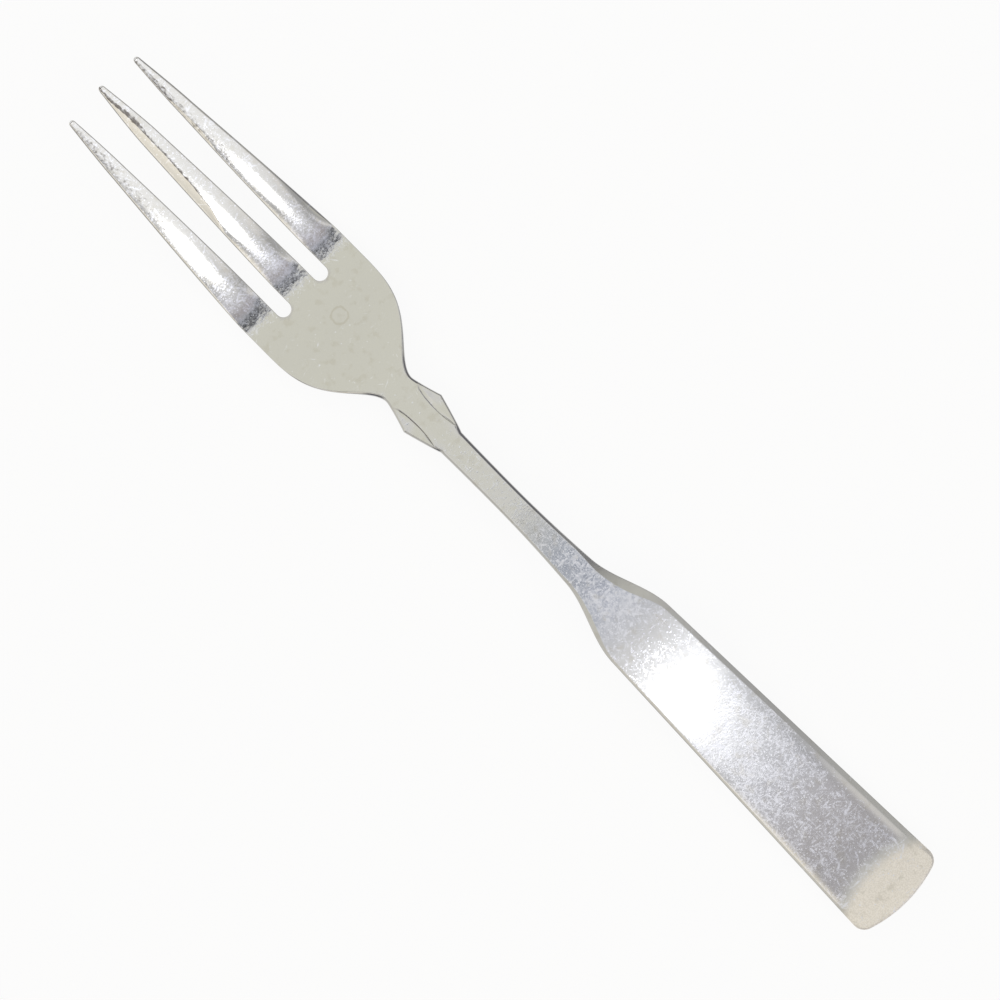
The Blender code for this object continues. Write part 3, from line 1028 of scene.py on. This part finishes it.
def feed(socket, value):
    """Link a socket to another one, or set a plain value on it."""
    if isinstance(value, bpy.types.NodeSocket):
        socket.id_data.links.new(value, socket)
    else:
        socket.default_value = value


def add_node(kind, *values):
    """New node in the tree of the first socket among the values."""
    tree = next(value.id_data for value in values if isinstance(value, bpy.types.NodeSocket))
    return tree.nodes.new(kind)


def calc(operation, *values):
    node = add_node("ShaderNodeMath", *values)
    node.operation = operation
    for socket, value in zip(node.inputs, values):
        feed(socket, value)
    return node.outputs[0]


def plus(first, second):
    return calc("ADD", first, second)


def minus(first, second):
    return calc("SUBTRACT", first, second)


def scaled(value, factor, offset):
    """The value times a factor, plus an offset."""
    return calc("MULTIPLY_ADD", value, factor, offset)


def times(first, *others):
    for other in others:
        first = calc("MULTIPLY", first, other)
    return first


def most(first, *others):
    for other in others:
        first = calc("MAXIMUM", first, other)
    return first


print("times, most, plus, minus and scaled are ready")

# %% [markdown]
# Three more helpers: a soft step, which turns any value into a mask, arithmetic on places, and a
# noise. A fourth one makes an empty node group with named sockets.

# %% Steps, noise and groups


def remap(value, low, high, to_low=0.0, to_high=1.0):
    """Soft step from one value to another, where the first argument runs from low to high."""
    node = add_node("ShaderNodeMapRange", value)
    node.interpolation_type = "SMOOTHSTEP"
    for label, item in (("Value", value), ("From Min", low), ("From Max", high),
                        ("To Min", to_low), ("To Max", to_high)):
        feed(node.inputs[label], item)
    return node.outputs["Result"]


def vector_calc(operation, vector, other=(0.0, 0.0, 0.0)):
    node = add_node("ShaderNodeVectorMath", vector)
    node.operation = operation
    feed(node.inputs[0], vector)
    feed(node.inputs["Scale" if operation == "SCALE" else 1], other)
    return node.outputs["Value" if operation == "LENGTH" else "Vector"]


def noise(vector, scale, detail=2.0, output="Fac"):
    node = add_node("ShaderNodeTexNoise", vector)
    feed(node.inputs["Vector"], vector)
    node.inputs["Scale"].default_value = scale
    node.inputs["Detail"].default_value = detail
    return node.outputs[output]


def new_group(name, vectors, numbers):
    """Node group that takes vectors and numbers, and gives one mask."""
    tree = bpy.data.node_groups.new(name, "ShaderNodeTree")
    for label in vectors:
        tree.interface.new_socket(label, in_out="INPUT", socket_type="NodeSocketVector")
    for label, value in numbers.items():
        socket = tree.interface.new_socket(label, in_out="INPUT", socket_type="NodeSocketFloat")
        socket.default_value = value
    tree.interface.new_socket("Mask", in_out="OUTPUT", socket_type="NodeSocketFloat")
    given = tree.nodes.new("NodeGroupInput").outputs
    wanted = tree.nodes.new("NodeGroupOutput").inputs
    return tree, given, wanted["Mask"]


print("remap, vector_calc, noise and new_group are ready")

# %% [markdown]
# A hairline is a noise that is stretched along one direction and cut off high, so that only thin
# streaks are left. The more wear, the lower the cut, and the more streaks. The place is bent by a
# broad noise first, which curls the streaks, and another noise breaks them into short pieces.
# Several directions together look like the random marks of plates, drawers and other cutlery.

# %% Hairline scratches
HAIRLINE_TURNS = (12.0, 58.0, 97.0, 141.0)
BEND_SCALE = 420.0
BEND_AMOUNT = 0.0008
CUT_UNWORN = 0.8
CUT_BY_WEAR = 0.28
LINE_SOFTNESS = 0.15
BREAK_SCALE = 1900.0
BREAK_RANGE = (0.3, 0.62)
FAINTEST_LINE = 0.25

hairlines, given, mask = new_group(
    "hairline_scratches", ("Vector",), {"Wear": 0.5, "Along": 760.0, "Across": 4200.0})
curl = vector_calc("SUBTRACT", noise(given["Vector"], BEND_SCALE, 1.0, "Color"), (0.5, 0.5, 0.5))
bent = vector_calc("ADD", given["Vector"], vector_calc("SCALE", curl, BEND_AMOUNT))
stretch = add_node("ShaderNodeCombineXYZ", bent)
for axis, label in zip("XYZ", ("Along", "Across", "Along")):
    feed(stretch.inputs[axis], given[label])
cut = minus(CUT_UNWORN, times(given["Wear"], CUT_BY_WEAR))
streaks = []
for turn in HAIRLINE_TURNS:
    turned = add_node("ShaderNodeVectorRotate", bent)
    turned.rotation_type = "Z_AXIS"
    feed(turned.inputs["Vector"], bent)
    turned.inputs["Angle"].default_value = math.radians(turn)
    moved = vector_calc("ADD", turned.outputs["Vector"], (turn * MM, 0.0, 0.0))
    streak = noise(vector_calc("MULTIPLY", moved, stretch.outputs["Vector"]), 1.0, 0.0)
    streaks.append(remap(streak, cut, plus(cut, LINE_SOFTNESS)))
broken = remap(noise(given["Vector"], BREAK_SCALE, 1.0), *BREAK_RANGE, FAINTEST_LINE, 1.0)
feed(mask, times(most(*streaks), broken))
print(hairlines.name, len(hairlines.nodes), "nodes")

# %% [markdown]
# Specks come from a texture that divides the steel into small cells. Each cell draws a random
# number. Where the number is lower than the wear at that place the cell gets a small dot, so worn
# areas fill up with dots. Particles could be strewn instead, but they would need a mesh each.

# %% Specks and dents
SMALLEST_DOT = 0.16
DOT_SPREAD = 0.32
DOT_EDGE = (0.7, 1.1)
CHOICE_SOFTNESS = 0.08

specks, given, mask = new_group("wear_specks", ("Vector",), {"Wear": 0.5, "Scale": 2400.0})
cells = add_node("ShaderNodeTexVoronoi", given["Vector"])
feed(cells.inputs["Vector"], given["Vector"])
feed(cells.inputs["Scale"], given["Scale"])
draw = add_node("ShaderNodeSeparateColor", given["Vector"])
feed(draw.inputs["Color"], cells.outputs["Color"])
dot_size = scaled(draw.outputs["Green"], DOT_SPREAD, SMALLEST_DOT)
dot = minus(1.0, remap(calc("DIVIDE", cells.outputs["Distance"], dot_size), *DOT_EDGE))
chosen = remap(minus(given["Wear"], draw.outputs["Red"]), 0.0, CHOICE_SOFTNESS)
feed(mask, times(dot, chosen))
print(specks.name, len(specks.nodes), "nodes")

# %% [markdown]
# A dried drop leaves a faint ring, because the lime in the water gathers at the edge of the drop.
# The group measures the distance to a centre on the palm, lets a noise unsettle it, and keeps a
# thin band of it.

# %% Water mark
RING_BAND = (0.04, 0.2)
WOBBLE_SCALE = 900.0
WOBBLE_SPREAD = 0.5
WOBBLE_LEAST = 0.75

water_mark, given, mask = new_group("water_mark", ("Vector", "Centre"), {"Radius": 0.0014})
offset = vector_calc("SUBTRACT", given["Vector"], given["Centre"])
distance = vector_calc("LENGTH", vector_calc("MULTIPLY", offset, (1.0, 1.0, 0.0)))
wobble = scaled(noise(given["Vector"], WOBBLE_SCALE), WOBBLE_SPREAD, WOBBLE_LEAST)
radii = times(calc("DIVIDE", distance, given["Radius"]), wobble)
feed(mask, minus(1.0, remap(calc("ABSOLUTE", minus(radii, 1.0)), *RING_BAND)))
print(water_mark.name, len(water_mark.nodes), "nodes")

# %% [markdown]
# ## The steel
# One steel covers the whole fork, so it is one material. What it looks like depends on the place,
# and the first nodes find out about that. Every piece sits at the origin, so its Object coordinates
# are those of the whole fork. They give the way down the fork, as a share of its length, and how
# far a point lies past the line where the end of the grip turns up and is ground. The normal tells
# the bevels, which look sideways, from the face between them.

# %% Places on the steel
BEVEL_TILTS = (0.22, 0.34)
GROUND_SETBACK = 0.6
GROUND_FADE = (-0.4, 1.8)

steel = bpy.data.materials.new("worn_polished_steel")
steel.use_nodes = True
nodes = steel.node_tree.nodes
shader = nodes["Principled BSDF"]
shader.inputs["Metallic"].default_value = 1.0


def axes(vector):
    """The three numbers of a vector."""
    node = add_node("ShaderNodeSeparateXYZ", vector)
    feed(node.inputs["Vector"], vector)
    return tuple(node.outputs)


place = nodes.new("ShaderNodeTexCoord").outputs["Object"]
place_x, place_y, _ = axes(place)
down_fork = scaled(place_x, -1.0 / (length * MM), tip_x / length)
_, aside, _ = axes(nodes.new("ShaderNodeNewGeometry").outputs["Normal"])
on_face = minus(1.0, remap(calc("ABSOLUTE", aside), *BEVEL_TILTS))
behind_turn = scaled(down_fork, length, -at_end_turn - GROUND_SETBACK)
bow = times(calc("POWER", place_y, 2.0), 0.5 / (END_TURN_RADIUS * MM**2))
past_turn = minus(behind_turn, bow)
ground_share = remap(past_turn, *GROUND_FADE)
print(steel.name, "finds its places with", len(nodes), "nodes")

# %% [markdown]
# ## Wear along the fork
# The palm was polished last and is touched least, while the roots of the tines, the crest of the
# shank and the grip rub on everything. A colour ramp along the fork holds the wear at marked
# stations, in millimetres behind the middle tip, and a cloudy noise breaks it up. The bevels are
# spared, and so are the ground end and the right margin of the grip.

# %% Wear
WEAR_STOPS = (
    (0.0, 0.5), (22.0, 0.45), (30.0, 0.35), (36.0, 0.7), (40.0, 0.9), (43.0, 0.9), (45.2, 0.6),
    (46.4, 0.05), (78.0, 0.1), (86.0, 0.4), (96.0, 0.58), (104.0, 0.74), (112.0, 0.8),
    (123.0, 0.85), (127.0, 0.48), (134.0, 0.44), (139.0, 0.35), (142.0, 0.4), (150.0, 0.74),
    (166.0, 0.8), (172.0, 0.62), (180.0, 0.6))
CLOUD_SCALE = 230.0
CLOUD_CONTRAST = 2.2
CLOUD_LEAST = -0.1
GROUND_WEAR = 0.25
GROUND_WEAR_FADE = (0.1, 1.5)
SPARED_FROM = (151.0, 166.0)
SPARED_WIDTH = (3.3, 1.4)
SPARED_AMOUNT = 0.75


def ramp(share, stops):
    """Colour ramp with a colour at each of the positions."""
    node = add_node("ShaderNodeValToRGB", share)
    feed(node.inputs["Fac"], share)
    elements = node.color_ramp.elements
    while len(elements) < len(stops):
        elements.new(0.5)
    for element, (position, colour) in zip(elements, stops):
        element.position = position
        element.color = colour
    return node.outputs


def grey_along(stops):
    """Grey value that follows marked stations along the fork."""
    return ramp(down_fork, [(at / length, (grey, grey, grey, 1.0)) for at, grey in stops])["Color"]


cloud = scaled(noise(place, CLOUD_SCALE, 4.0), CLOUD_CONTRAST, CLOUD_LEAST)
wear = times(grey_along(WEAR_STOPS), cloud, on_face)
wear = times(wear, remap(past_turn, *GROUND_WEAR_FADE, 1.0, GROUND_WEAR))
half_here = scaled(down_fork, length * grip_slope, GRIP_FRONT_HALF - at_grip * grip_slope)
from_right = scaled(place_y, 1.0 / MM, half_here)
on_grip = remap(down_fork, *(at / length for at in SPARED_FROM))
spared = times(remap(from_right, *SPARED_WIDTH, 0.0, SPARED_AMOUNT), on_grip)
wear = times(wear, minus(1.0, spared))
print("wear is set at", len(WEAR_STOPS), "stations")

# %% [markdown]
# ## Marks and stains
# Short and long hairlines, coarse and fine specks lie over each other, and at each place the
# strongest mark counts. Stains are kept apart from them, because they dull the steel but don't
# scratch it: one dried ring on the palm, and faint blotches everywhere.

# %% Marks and stains
SHORT_LINES_AMOUNT = 0.6
LONG_LINES_MOVED = (0.3, 0.2, 0.0)
LONG_LINES_WEAR = 0.8
LONG_LINES_ALONG = 560.0
LONG_LINES_ACROSS = 1950.0
DOTS_WEAR = 0.75
FINE_DOTS_WEAR = 0.6
FINE_DOTS_SCALE = 4300.0
RING_AMOUNT = 0.5
BLOTCH_SCALE = 640.0
BLOTCH_RANGE = (0.54, 0.7)
BLOTCH_AMOUNT = 0.3
WATER_MARK_CENTRE = (41.5 * MM, -1.6 * MM, 0.0)


def use(group, **values):
    """One of the node groups, with values for its inputs."""
    node = add_node("ShaderNodeGroup", *values.values())
    node.node_tree = group
    for label, value in values.items():
        feed(node.inputs[label], value)
    return node.outputs["Mask"]


short_lines = use(hairlines, Vector=place, Wear=wear)
long_lines = use(hairlines, Vector=vector_calc("ADD", place, LONG_LINES_MOVED),
                 Wear=times(wear, LONG_LINES_WEAR), Along=LONG_LINES_ALONG, Across=LONG_LINES_ACROSS)
dots = use(specks, Vector=place, Wear=times(wear, DOTS_WEAR))
fine_dots = use(specks, Vector=place, Wear=times(wear, FINE_DOTS_WEAR), Scale=FINE_DOTS_SCALE)
marks = most(times(short_lines, SHORT_LINES_AMOUNT), long_lines, dots, fine_dots)
ring = use(water_mark, Vector=place, Centre=WATER_MARK_CENTRE)
blotch = remap(noise(place, BLOTCH_SCALE, 5.0), *BLOTCH_RANGE)
stain = most(times(ring, RING_AMOUNT), times(blotch, BLOTCH_AMOUNT))
print("marks and stains are ready after", len(nodes), "nodes")

# %% [markdown]
# ## Colour
# Bare steel is a grey that is hardly warm, and a metal colours what it reflects. A cool blue-grey is
# painted into the face of the shank's crest, and faintly over the grip: a painted reflection of the
# dark zone of the room. The ground end of the grip is grainy from grinding, and its warm cream tone
# is a painted reflection of the pale room. Marks are paler and a little blue, stains are yellowish.
# The painted darkening stored on the skin comes last: painted shade in the grooves of the ears, a
# painted dark reflection along the ridge of the middle tine, and a dark band along the left of the
# outer tines. A fine noise is compared with it, so that more of it gives more dark specks and not an
# even shade.

# %% Colour of the steel
STEEL = (0.62, 0.615, 0.6, 1.0)
SCUFFED = (0.84, 0.855, 0.92, 1.0)
PAINTED_CREST_REFLECTION = (0.6, 0.635, 0.72, 1.0)
GROUND_WITH_PAINTED_CREAM = (0.79, 0.75, 0.69, 1.0)
GROUND_WITH_PAINTED_CREAM_BRIGHT = (0.9, 0.86, 0.805, 1.0)
STAINED = (0.5, 0.475, 0.41, 1.0)
PAINTED_DARK = (0.12, 0.105, 0.095, 1.0)
PAINTED_CREST_REFLECTION_STOPS = ((99.0, 0.0), (108.0, 1.0), (119.0, 1.0), (127.0, 0.25), (160.0, 0.25), (172.0, 0.0))
GROUND_GRAIN_SCALE = 4200.0
GROUND_GRAIN_RANGE = (0.35, 0.65)
SCUFF_AMOUNT = 0.8
DARKENING_STRETCH = (0.55, 1.0, 1.0)
DARKENING_SCALE = 2500.0
DARKENING_BELOW = 0.16
DARKENING_ABOVE = 0.24
DARKENING_AMOUNT = 0.9


def blend(factor, low, high):
    """Mix of two colours."""
    node = add_node("ShaderNodeMix", factor)
    node.data_type = "RGBA"
    for label, value in (("Factor_Float", factor), ("A_Color", low), ("B_Color", high)):
        feed(next(socket for socket in node.inputs if socket.identifier == label), value)
    return next(socket for socket in node.outputs if socket.identifier == "Result_Color")


# Ground end: real grain from grinding, and a warm cream tone that is a painted reflection of the pale
# room
ground_grain = remap(noise(place, GROUND_GRAIN_SCALE, 2.0), *GROUND_GRAIN_RANGE)
ground_with_painted_cream = blend(ground_grain, GROUND_WITH_PAINTED_CREAM, GROUND_WITH_PAINTED_CREAM_BRIGHT)
# Painted reflection: a cool blue-grey tint on the face of the shank's crest, faint over the grip
polished = blend(times(grey_along(PAINTED_CREST_REFLECTION_STOPS), on_face), STEEL, PAINTED_CREST_REFLECTION)
bare = blend(ground_share, polished, ground_with_painted_cream)
marked = blend(times(marks, SCUFF_AMOUNT), bare, SCUFFED)
stained = blend(stain, marked, STAINED)
# Painted darkening from the skin: painted shade in the ear grooves, a painted dark reflection on the
# middle tine's ridge, a dark band on the outer tines
darkening = nodes.new("ShaderNodeAttribute")
darkening.attribute_name = "painted_darkening"
clear = minus(1.0, darkening.outputs["Fac"])
darkening_noise = noise(vector_calc("MULTIPLY", place, DARKENING_STRETCH), DARKENING_SCALE, 3.0)
painted_dark_specks = remap(darkening_noise, minus(clear, DARKENING_BELOW), plus(clear, DARKENING_ABOVE), 0.0, DARKENING_AMOUNT)
feed(shader.inputs["Base Color"], blend(painted_dark_specks, stained, PAINTED_DARK))
print("colour is ready after", len(nodes), "nodes")

# %% [markdown]
# ## Haze and scatter
# Wear that is too fine to see makes a haze, thickest on the shoulder and on the ground end. It sets
# how rough the steel is, and the marks add to that by a scatter of their own. Just ahead of the
# white patch on the grip the scatter is negative: there the marks are smoother than the hazy steel
# around them, and stand out as flecks. A colour ramp can't hold values below 0, so the scatter is
# lifted above 0 for the ramp, and lowered again behind it.

# %% Roughness of the steel
HAZE_STOPS = (
    (0.0, 0.12), (26.0, 0.12), (38.0, 0.12), (42.0, 0.11), (45.0, 0.11), (47.0, 0.08), (62.0, 0.08),
    (98.0, 0.1), (107.0, 0.26), (119.0, 0.32), (125.0, 0.42), (131.0, 0.36), (137.0, 0.17),
    (148.0, 0.15), (160.0, 0.15), (178.0, 0.18))
SCATTER_STOPS = (
    (90.0, 0.1), (108.0, 0.27), (118.0, 0.27), (122.0, 0.22), (127.0, -0.2), (132.0, -0.2),
    (137.0, 0.05), (150.0, 0.2), (166.0, 0.17), (180.0, 0.12))
SMOOTHEST = -0.24
GROUND_HAZE = 0.28
GROUND_HAZE_FADE = (-2.2, 0.6)
HAZE_CLOUD_SCALE = 900.0
HAZE_CLOUD_SPREAD = 0.4
HAZE_CLOUD_LEAST = 0.8
STAIN_HAZE = 0.05

veil = plus(grey_along(HAZE_STOPS), remap(past_turn, *GROUND_HAZE_FADE, 0.0, GROUND_HAZE))
haze_cloud = noise(place, HAZE_CLOUD_SCALE, 3.0)
haze = times(veil, scaled(haze_cloud, HAZE_CLOUD_SPREAD, HAZE_CLOUD_LEAST))
lifted = grey_along([(at, value - SMOOTHEST) for at, value in SCATTER_STOPS])
rough = plus(haze, times(marks, plus(lifted, SMOOTHEST)))
feed(shader.inputs["Roughness"], plus(rough, times(stain, STAIN_HAZE)))
print("haze is set at", len(HAZE_STOPS), "stations")

# %% [markdown]
# ## Relief
# Light shows the smallest relief on a mirror. Marks stand out by a hair, worn steel is grainy, the
# whole face waves a little from polishing, and the roots of the tines are pitted, which ruffles the
# dark bands there. All of it is a few hundredths of a millimetre, so a Bump node is enough, and the
# shape is left alone.

# %% Relief of the steel
RELIEF = 0.07 * MM
MARK_HEIGHT = 0.03
GRAIN_SCALE = 2600.0
GRAIN_HEIGHT = 0.13
WAVE_SCALE = 260.0
WAVE_HEIGHT = 0.25
PIT_SCALE = 950.0
PIT_HEIGHT = 0.42
ROOT_STOPS = ((40.6, 0.0), (42.6, 1.0), (44.8, 1.0), (46.2, 0.0))

grain = times(noise(place, GRAIN_SCALE, 1.0), times(wear, GRAIN_HEIGHT))
waves = times(noise(place, WAVE_SCALE, 1.0), WAVE_HEIGHT)
pits = times(noise(place, PIT_SCALE, 1.0), times(grey_along(ROOT_STOPS), PIT_HEIGHT))
bump = nodes.new("ShaderNodeBump")
bump.inputs["Distance"].default_value = RELIEF
bump.inputs["Strength"].default_value = 1.0
feed(bump.inputs["Height"], plus(times(marks, MARK_HEIGHT), plus(plus(grain, waves), pits)))
feed(shader.inputs["Normal"], bump.outputs["Normal"])
for piece in pieces.values():
    piece.data.materials.append(steel)
print(steel.name, "with", len(nodes), "nodes on", len(pieces), "pieces")

# %% [markdown]
# ## A room to reflect
# A mirror needs surroundings. Here they are a wide dome of soft light with a few calm zones, as in
# a studio. From ahead of the tips to behind the grip there are a warm board, a narrow dark gap,
# grey and then a pale ceiling. To the left stands a cream board, and to the right a darker wall.
# A picture of a room could be used, but two colour ramps over the direction hold the same zones as
# numbers. One runs from behind to ahead and the other from right to left. The opacity of the second
# says where it hides the first. The ramps hold the light at half strength, which keeps every colour
# within the range of a colour picker, and the background doubles it again.

# %% World
AHEAD_STOPS = (
    (-1.0, (1.0, 1.0, 1.0)), (-0.75, (1.32, 1.32, 1.32)), (-0.5, (1.28, 1.28, 1.28)),
    (-0.38, (1.0, 1.0, 1.01)), (-0.28, (0.79, 0.79, 0.82)), (-0.2, (0.65, 0.63, 0.66)),
    (-0.14, (0.52, 0.49, 0.52)), (-0.09, (0.54, 0.53, 0.56)), (-0.04, (0.54, 0.55, 0.6)),
    (0.008, (0.4, 0.415, 0.45)), (0.034, (0.085, 0.09, 0.105)), (0.1, (0.085, 0.09, 0.105)),
    (0.117, (0.52, 0.53, 0.57)), (0.132, (1.0, 1.0, 1.01)), (0.16, (0.99, 0.985, 0.96)),
    (0.185, (0.93, 0.925, 0.83)), (0.27, (0.92, 0.915, 0.82)), (0.34, (0.78, 0.77, 0.73)),
    (0.5, (0.95, 0.93, 0.87)), (1.0, (0.9, 0.89, 0.86)))
SIDE_STOPS = (
    (-1.0, (0.3, 0.3, 0.32), 1.0), (-0.9, (0.4, 0.4, 0.4), 1.0), (-0.8, (0.74, 0.73, 0.66), 1.0),
    (-0.62, (0.55, 0.55, 0.55), 1.0), (-0.52, (0.78, 0.77, 0.76), 1.0),
    (-0.42, (1.1, 1.07, 1.03), 0.88), (-0.3, (1.02, 1.0, 0.98), 0.14),
    (-0.16, (0.95, 0.95, 0.94), 0.0), (0.2, (1.4, 1.32, 1.14), 0.0),
    (0.34, (1.42, 1.33, 1.15), 0.95), (0.52, (1.2, 1.14, 1.02), 1.0),
    (0.65, (0.86, 0.83, 0.76), 1.0), (0.85, (0.8, 0.78, 0.72), 1.0), (1.0, (0.68, 0.67, 0.64), 1.0))
DOME_SCALE = 0.5

world = bpy.data.worlds.new("soft_room")
bpy.context.scene.world = world
world.use_nodes = True
dome = world.node_tree.nodes


def dome_colour(colour, opacity=1.0):
    return (*(DOME_SCALE * value for value in colour), opacity)


def dome_ramp(direction, stops):
    """Ramp from -1 to 1 over one axis of the direction."""
    share = scaled(direction, 0.5, 0.5)
    return ramp(share, [(0.5 * (at + 1.0), dome_colour(*colour)) for at, *colour in stops])


ahead, left, up = axes(dome.new("ShaderNodeTexCoord").outputs["Generated"])
ahead_ramp = dome_ramp(ahead, AHEAD_STOPS)
side_ramp = dome_ramp(left, SIDE_STOPS)
print(world.name, "with", len(AHEAD_STOPS), "and", len(SIDE_STOPS), "zones")

# %% [markdown]
# A few smaller things stand in that room. High up the boards ahead reach round to the left, because
# the ground facets of the tines look there. Two grey screens behind the fork tone down the sides of
# the grip. Low dark walls give the bevels and the sides of the fork something dark to reflect. At
# the very bottom the dome fades to pale, like the table. Each pair of numbers says where a mask
# begins and where it is full, along one axis of the direction.

# %% Screens and walls
DARK = (0.2, 0.2, 0.22)
SCREEN = (0.5, 0.5, 0.51)
PALE = (0.88, 0.88, 0.87)
BOARDS_AHEAD = (0.06, 0.2)
BOARDS_ROUND = (-0.12, 0.04)
BOARDS_ROUND_OPACITY = 0.65
BOARDS_LEFT = (0.0, 0.1)
BOARDS_UP = (0.42, 0.56)
LEFT_SCREEN_SIDES = ((0.1, 0.15), (0.32, 0.25))
LEFT_SCREEN_FRONT = (-0.26, -0.36)
RIGHT_SCREEN_ENDS = ((-0.36, -0.28), (-0.17, -0.25))
RIGHT_SCREEN_SIDE = (-0.1, -0.2)
SCREEN_OPACITY = 0.85
RIGHT_WALL = (-0.25, -0.5)
LEFT_WALL = (0.25, 0.5)
LEFT_WALL_FRONT = (-0.05, -0.25)
REAR_WALL = (-0.7, -0.85)
REAR_WALL_OPACITY = 0.95
WALL_TOP = (0.55, 0.35)
HORIZON = (0.02, 0.12)

round_left = times(remap(ahead, *BOARDS_ROUND, 0.0, BOARDS_ROUND_OPACITY), remap(left, *BOARDS_LEFT))
boards = times(most(remap(ahead, *BOARDS_AHEAD), round_left), remap(up, *BOARDS_UP))
walls = times(side_ramp["Alpha"], minus(1.0, boards))
room = blend(walls, ahead_ramp["Color"], side_ramp["Color"])

left_sides = times(*(remap(left, *side) for side in LEFT_SCREEN_SIDES))
left_screen = times(left_sides, remap(ahead, *LEFT_SCREEN_FRONT))
right_ends = times(*(remap(ahead, *end) for end in RIGHT_SCREEN_ENDS))
right_screen = times(right_ends, remap(left, *RIGHT_SCREEN_SIDE))
screens = times(most(left_screen, right_screen), SCREEN_OPACITY)
room = blend(screens, room, dome_colour(SCREEN))

right_wall = remap(left, *RIGHT_WALL)
left_wall = times(remap(left, *LEFT_WALL), remap(ahead, *LEFT_WALL_FRONT))
rear_wall = remap(ahead, *REAR_WALL, 0.0, REAR_WALL_OPACITY)
low_walls = times(most(right_wall, left_wall, rear_wall), remap(up, *WALL_TOP))
room = blend(low_walls, room, dome_colour(DARK))

background = dome["Background"]
feed(background.inputs["Color"], blend(remap(up, *HORIZON), dome_colour(PALE), room))
background.inputs["Strength"].default_value = 1.0 / DOME_SCALE
print(world.name, "has", len(dome), "nodes")

# %% [markdown]
# ## Softbox
# One large lamp stands behind the grip and high up. It is the white patch on the tines and on the
# grip, and it gives the fork its soft shadow. An ellipse keeps the ends of the patch round, where a
# rectangle would give it corners.

# %% Lamp
SOFTBOX_TILT = math.radians(25.9)
SOFTBOX_DISTANCE = 5.0
SOFTBOX_ASIDE = 0.25
SOFTBOX_LONG = 1.22
SOFTBOX_SHORT = 1.0
SOFTBOX_GLOW = 2.1

lamp = bpy.data.lights.new("softbox", "AREA")
lamp.shape = "ELLIPSE"
lamp.size = SOFTBOX_SHORT
lamp.size_y = SOFTBOX_LONG
lamp.energy = SOFTBOX_GLOW * math.pi * 0.25 * math.pi * SOFTBOX_LONG * SOFTBOX_SHORT
softbox = bpy.data.objects.new("softbox", lamp)
softbox.location.x = -SOFTBOX_DISTANCE * math.sin(SOFTBOX_TILT)
softbox.location.y = SOFTBOX_ASIDE
softbox.location.z = SOFTBOX_DISTANCE * math.cos(SOFTBOX_TILT)
softbox.rotation_euler = (0.0, -SOFTBOX_TILT, 0.0)
bpy.context.collection.objects.link(softbox)
print(f"softbox of {lamp.energy:.1f} W")

# %% [markdown]
# ## Floor
# The fork lies on a plain white sheet. Part of its white is its own glow, for the camera and for
# mirrors alike, so that it looks white without more light on the fork. The rest is lit, and keeps
# the soft shadow. A stronger lamp would whiten the sheet as well, but it would burn out the steel.

# %% White sheet
FLOOR_SIZE = 8.0
FLOOR_DROP = 0.05 * MM
FLOOR_GLOW = 0.9
PAPER = (0.9, 0.9, 0.9, 1.0)
PAPER_ROUGHNESS = 0.9

floor_mesh = bpy.data.meshes.new("white_sheet")
sheet = bmesh.new()
bmesh.ops.create_grid(sheet, x_segments=8, y_segments=8, size=0.5 * FLOOR_SIZE)
sheet.to_mesh(floor_mesh)
sheet.free()
floor = bpy.data.objects.new("white_sheet", floor_mesh)
floor.location.z = -FLOOR_DROP
bpy.context.collection.objects.link(floor)

paper = bpy.data.materials.new("white_paper")
paper.use_nodes = True
nodes = paper.node_tree.nodes
matt = nodes["Principled BSDF"]
matt.inputs["Base Color"].default_value = PAPER
matt.inputs["Roughness"].default_value = PAPER_ROUGHNESS
glow = nodes.new("ShaderNodeEmission")
rays = nodes.new("ShaderNodeLightPath").outputs
seen = most(rays["Is Camera Ray"], rays["Is Glossy Ray"], rays["Is Transmission Ray"])
mixer = nodes.new("ShaderNodeMixShader")
feed(mixer.inputs["Fac"], times(seen, FLOOR_GLOW))
feed(mixer.inputs[1], matt.outputs["BSDF"])
feed(mixer.inputs[2], glow.outputs["Emission"])
feed(nodes["Material Output"].inputs["Surface"], mixer.outputs["Shader"])
floor_mesh.materials.append(paper)
print("floor", FLOOR_SIZE, "m wide")

# %% [markdown]
# ## Camera
# The photograph looks straight down, with the fork lying on the diagonal. The lens follows from the
# distance and from how many millimetres the picture is wide.

# %% Camera
CAMERA_HEIGHT = 0.65
PICTURE_WIDTH = 168.26 * MM
CAMERA_ROLL = math.radians(225.32)
CAMERA_SPOT = (0.64 * MM, 0.97 * MM)
SENSOR_WIDTH = 36.0

lens = bpy.data.cameras.new("overhead")
lens.sensor_width = SENSOR_WIDTH
lens.lens = SENSOR_WIDTH * CAMERA_HEIGHT / PICTURE_WIDTH
camera = bpy.data.objects.new("overhead", lens)
camera.location = (*CAMERA_SPOT, CAMERA_HEIGHT)
camera.rotation_euler = (0.0, 0.0, CAMERA_ROLL)
bpy.context.collection.objects.link(camera)
bpy.context.scene.camera = camera
bpy.context.scene.view_settings.view_transform = "Standard"
print(f"lens {lens.lens:.1f} mm")
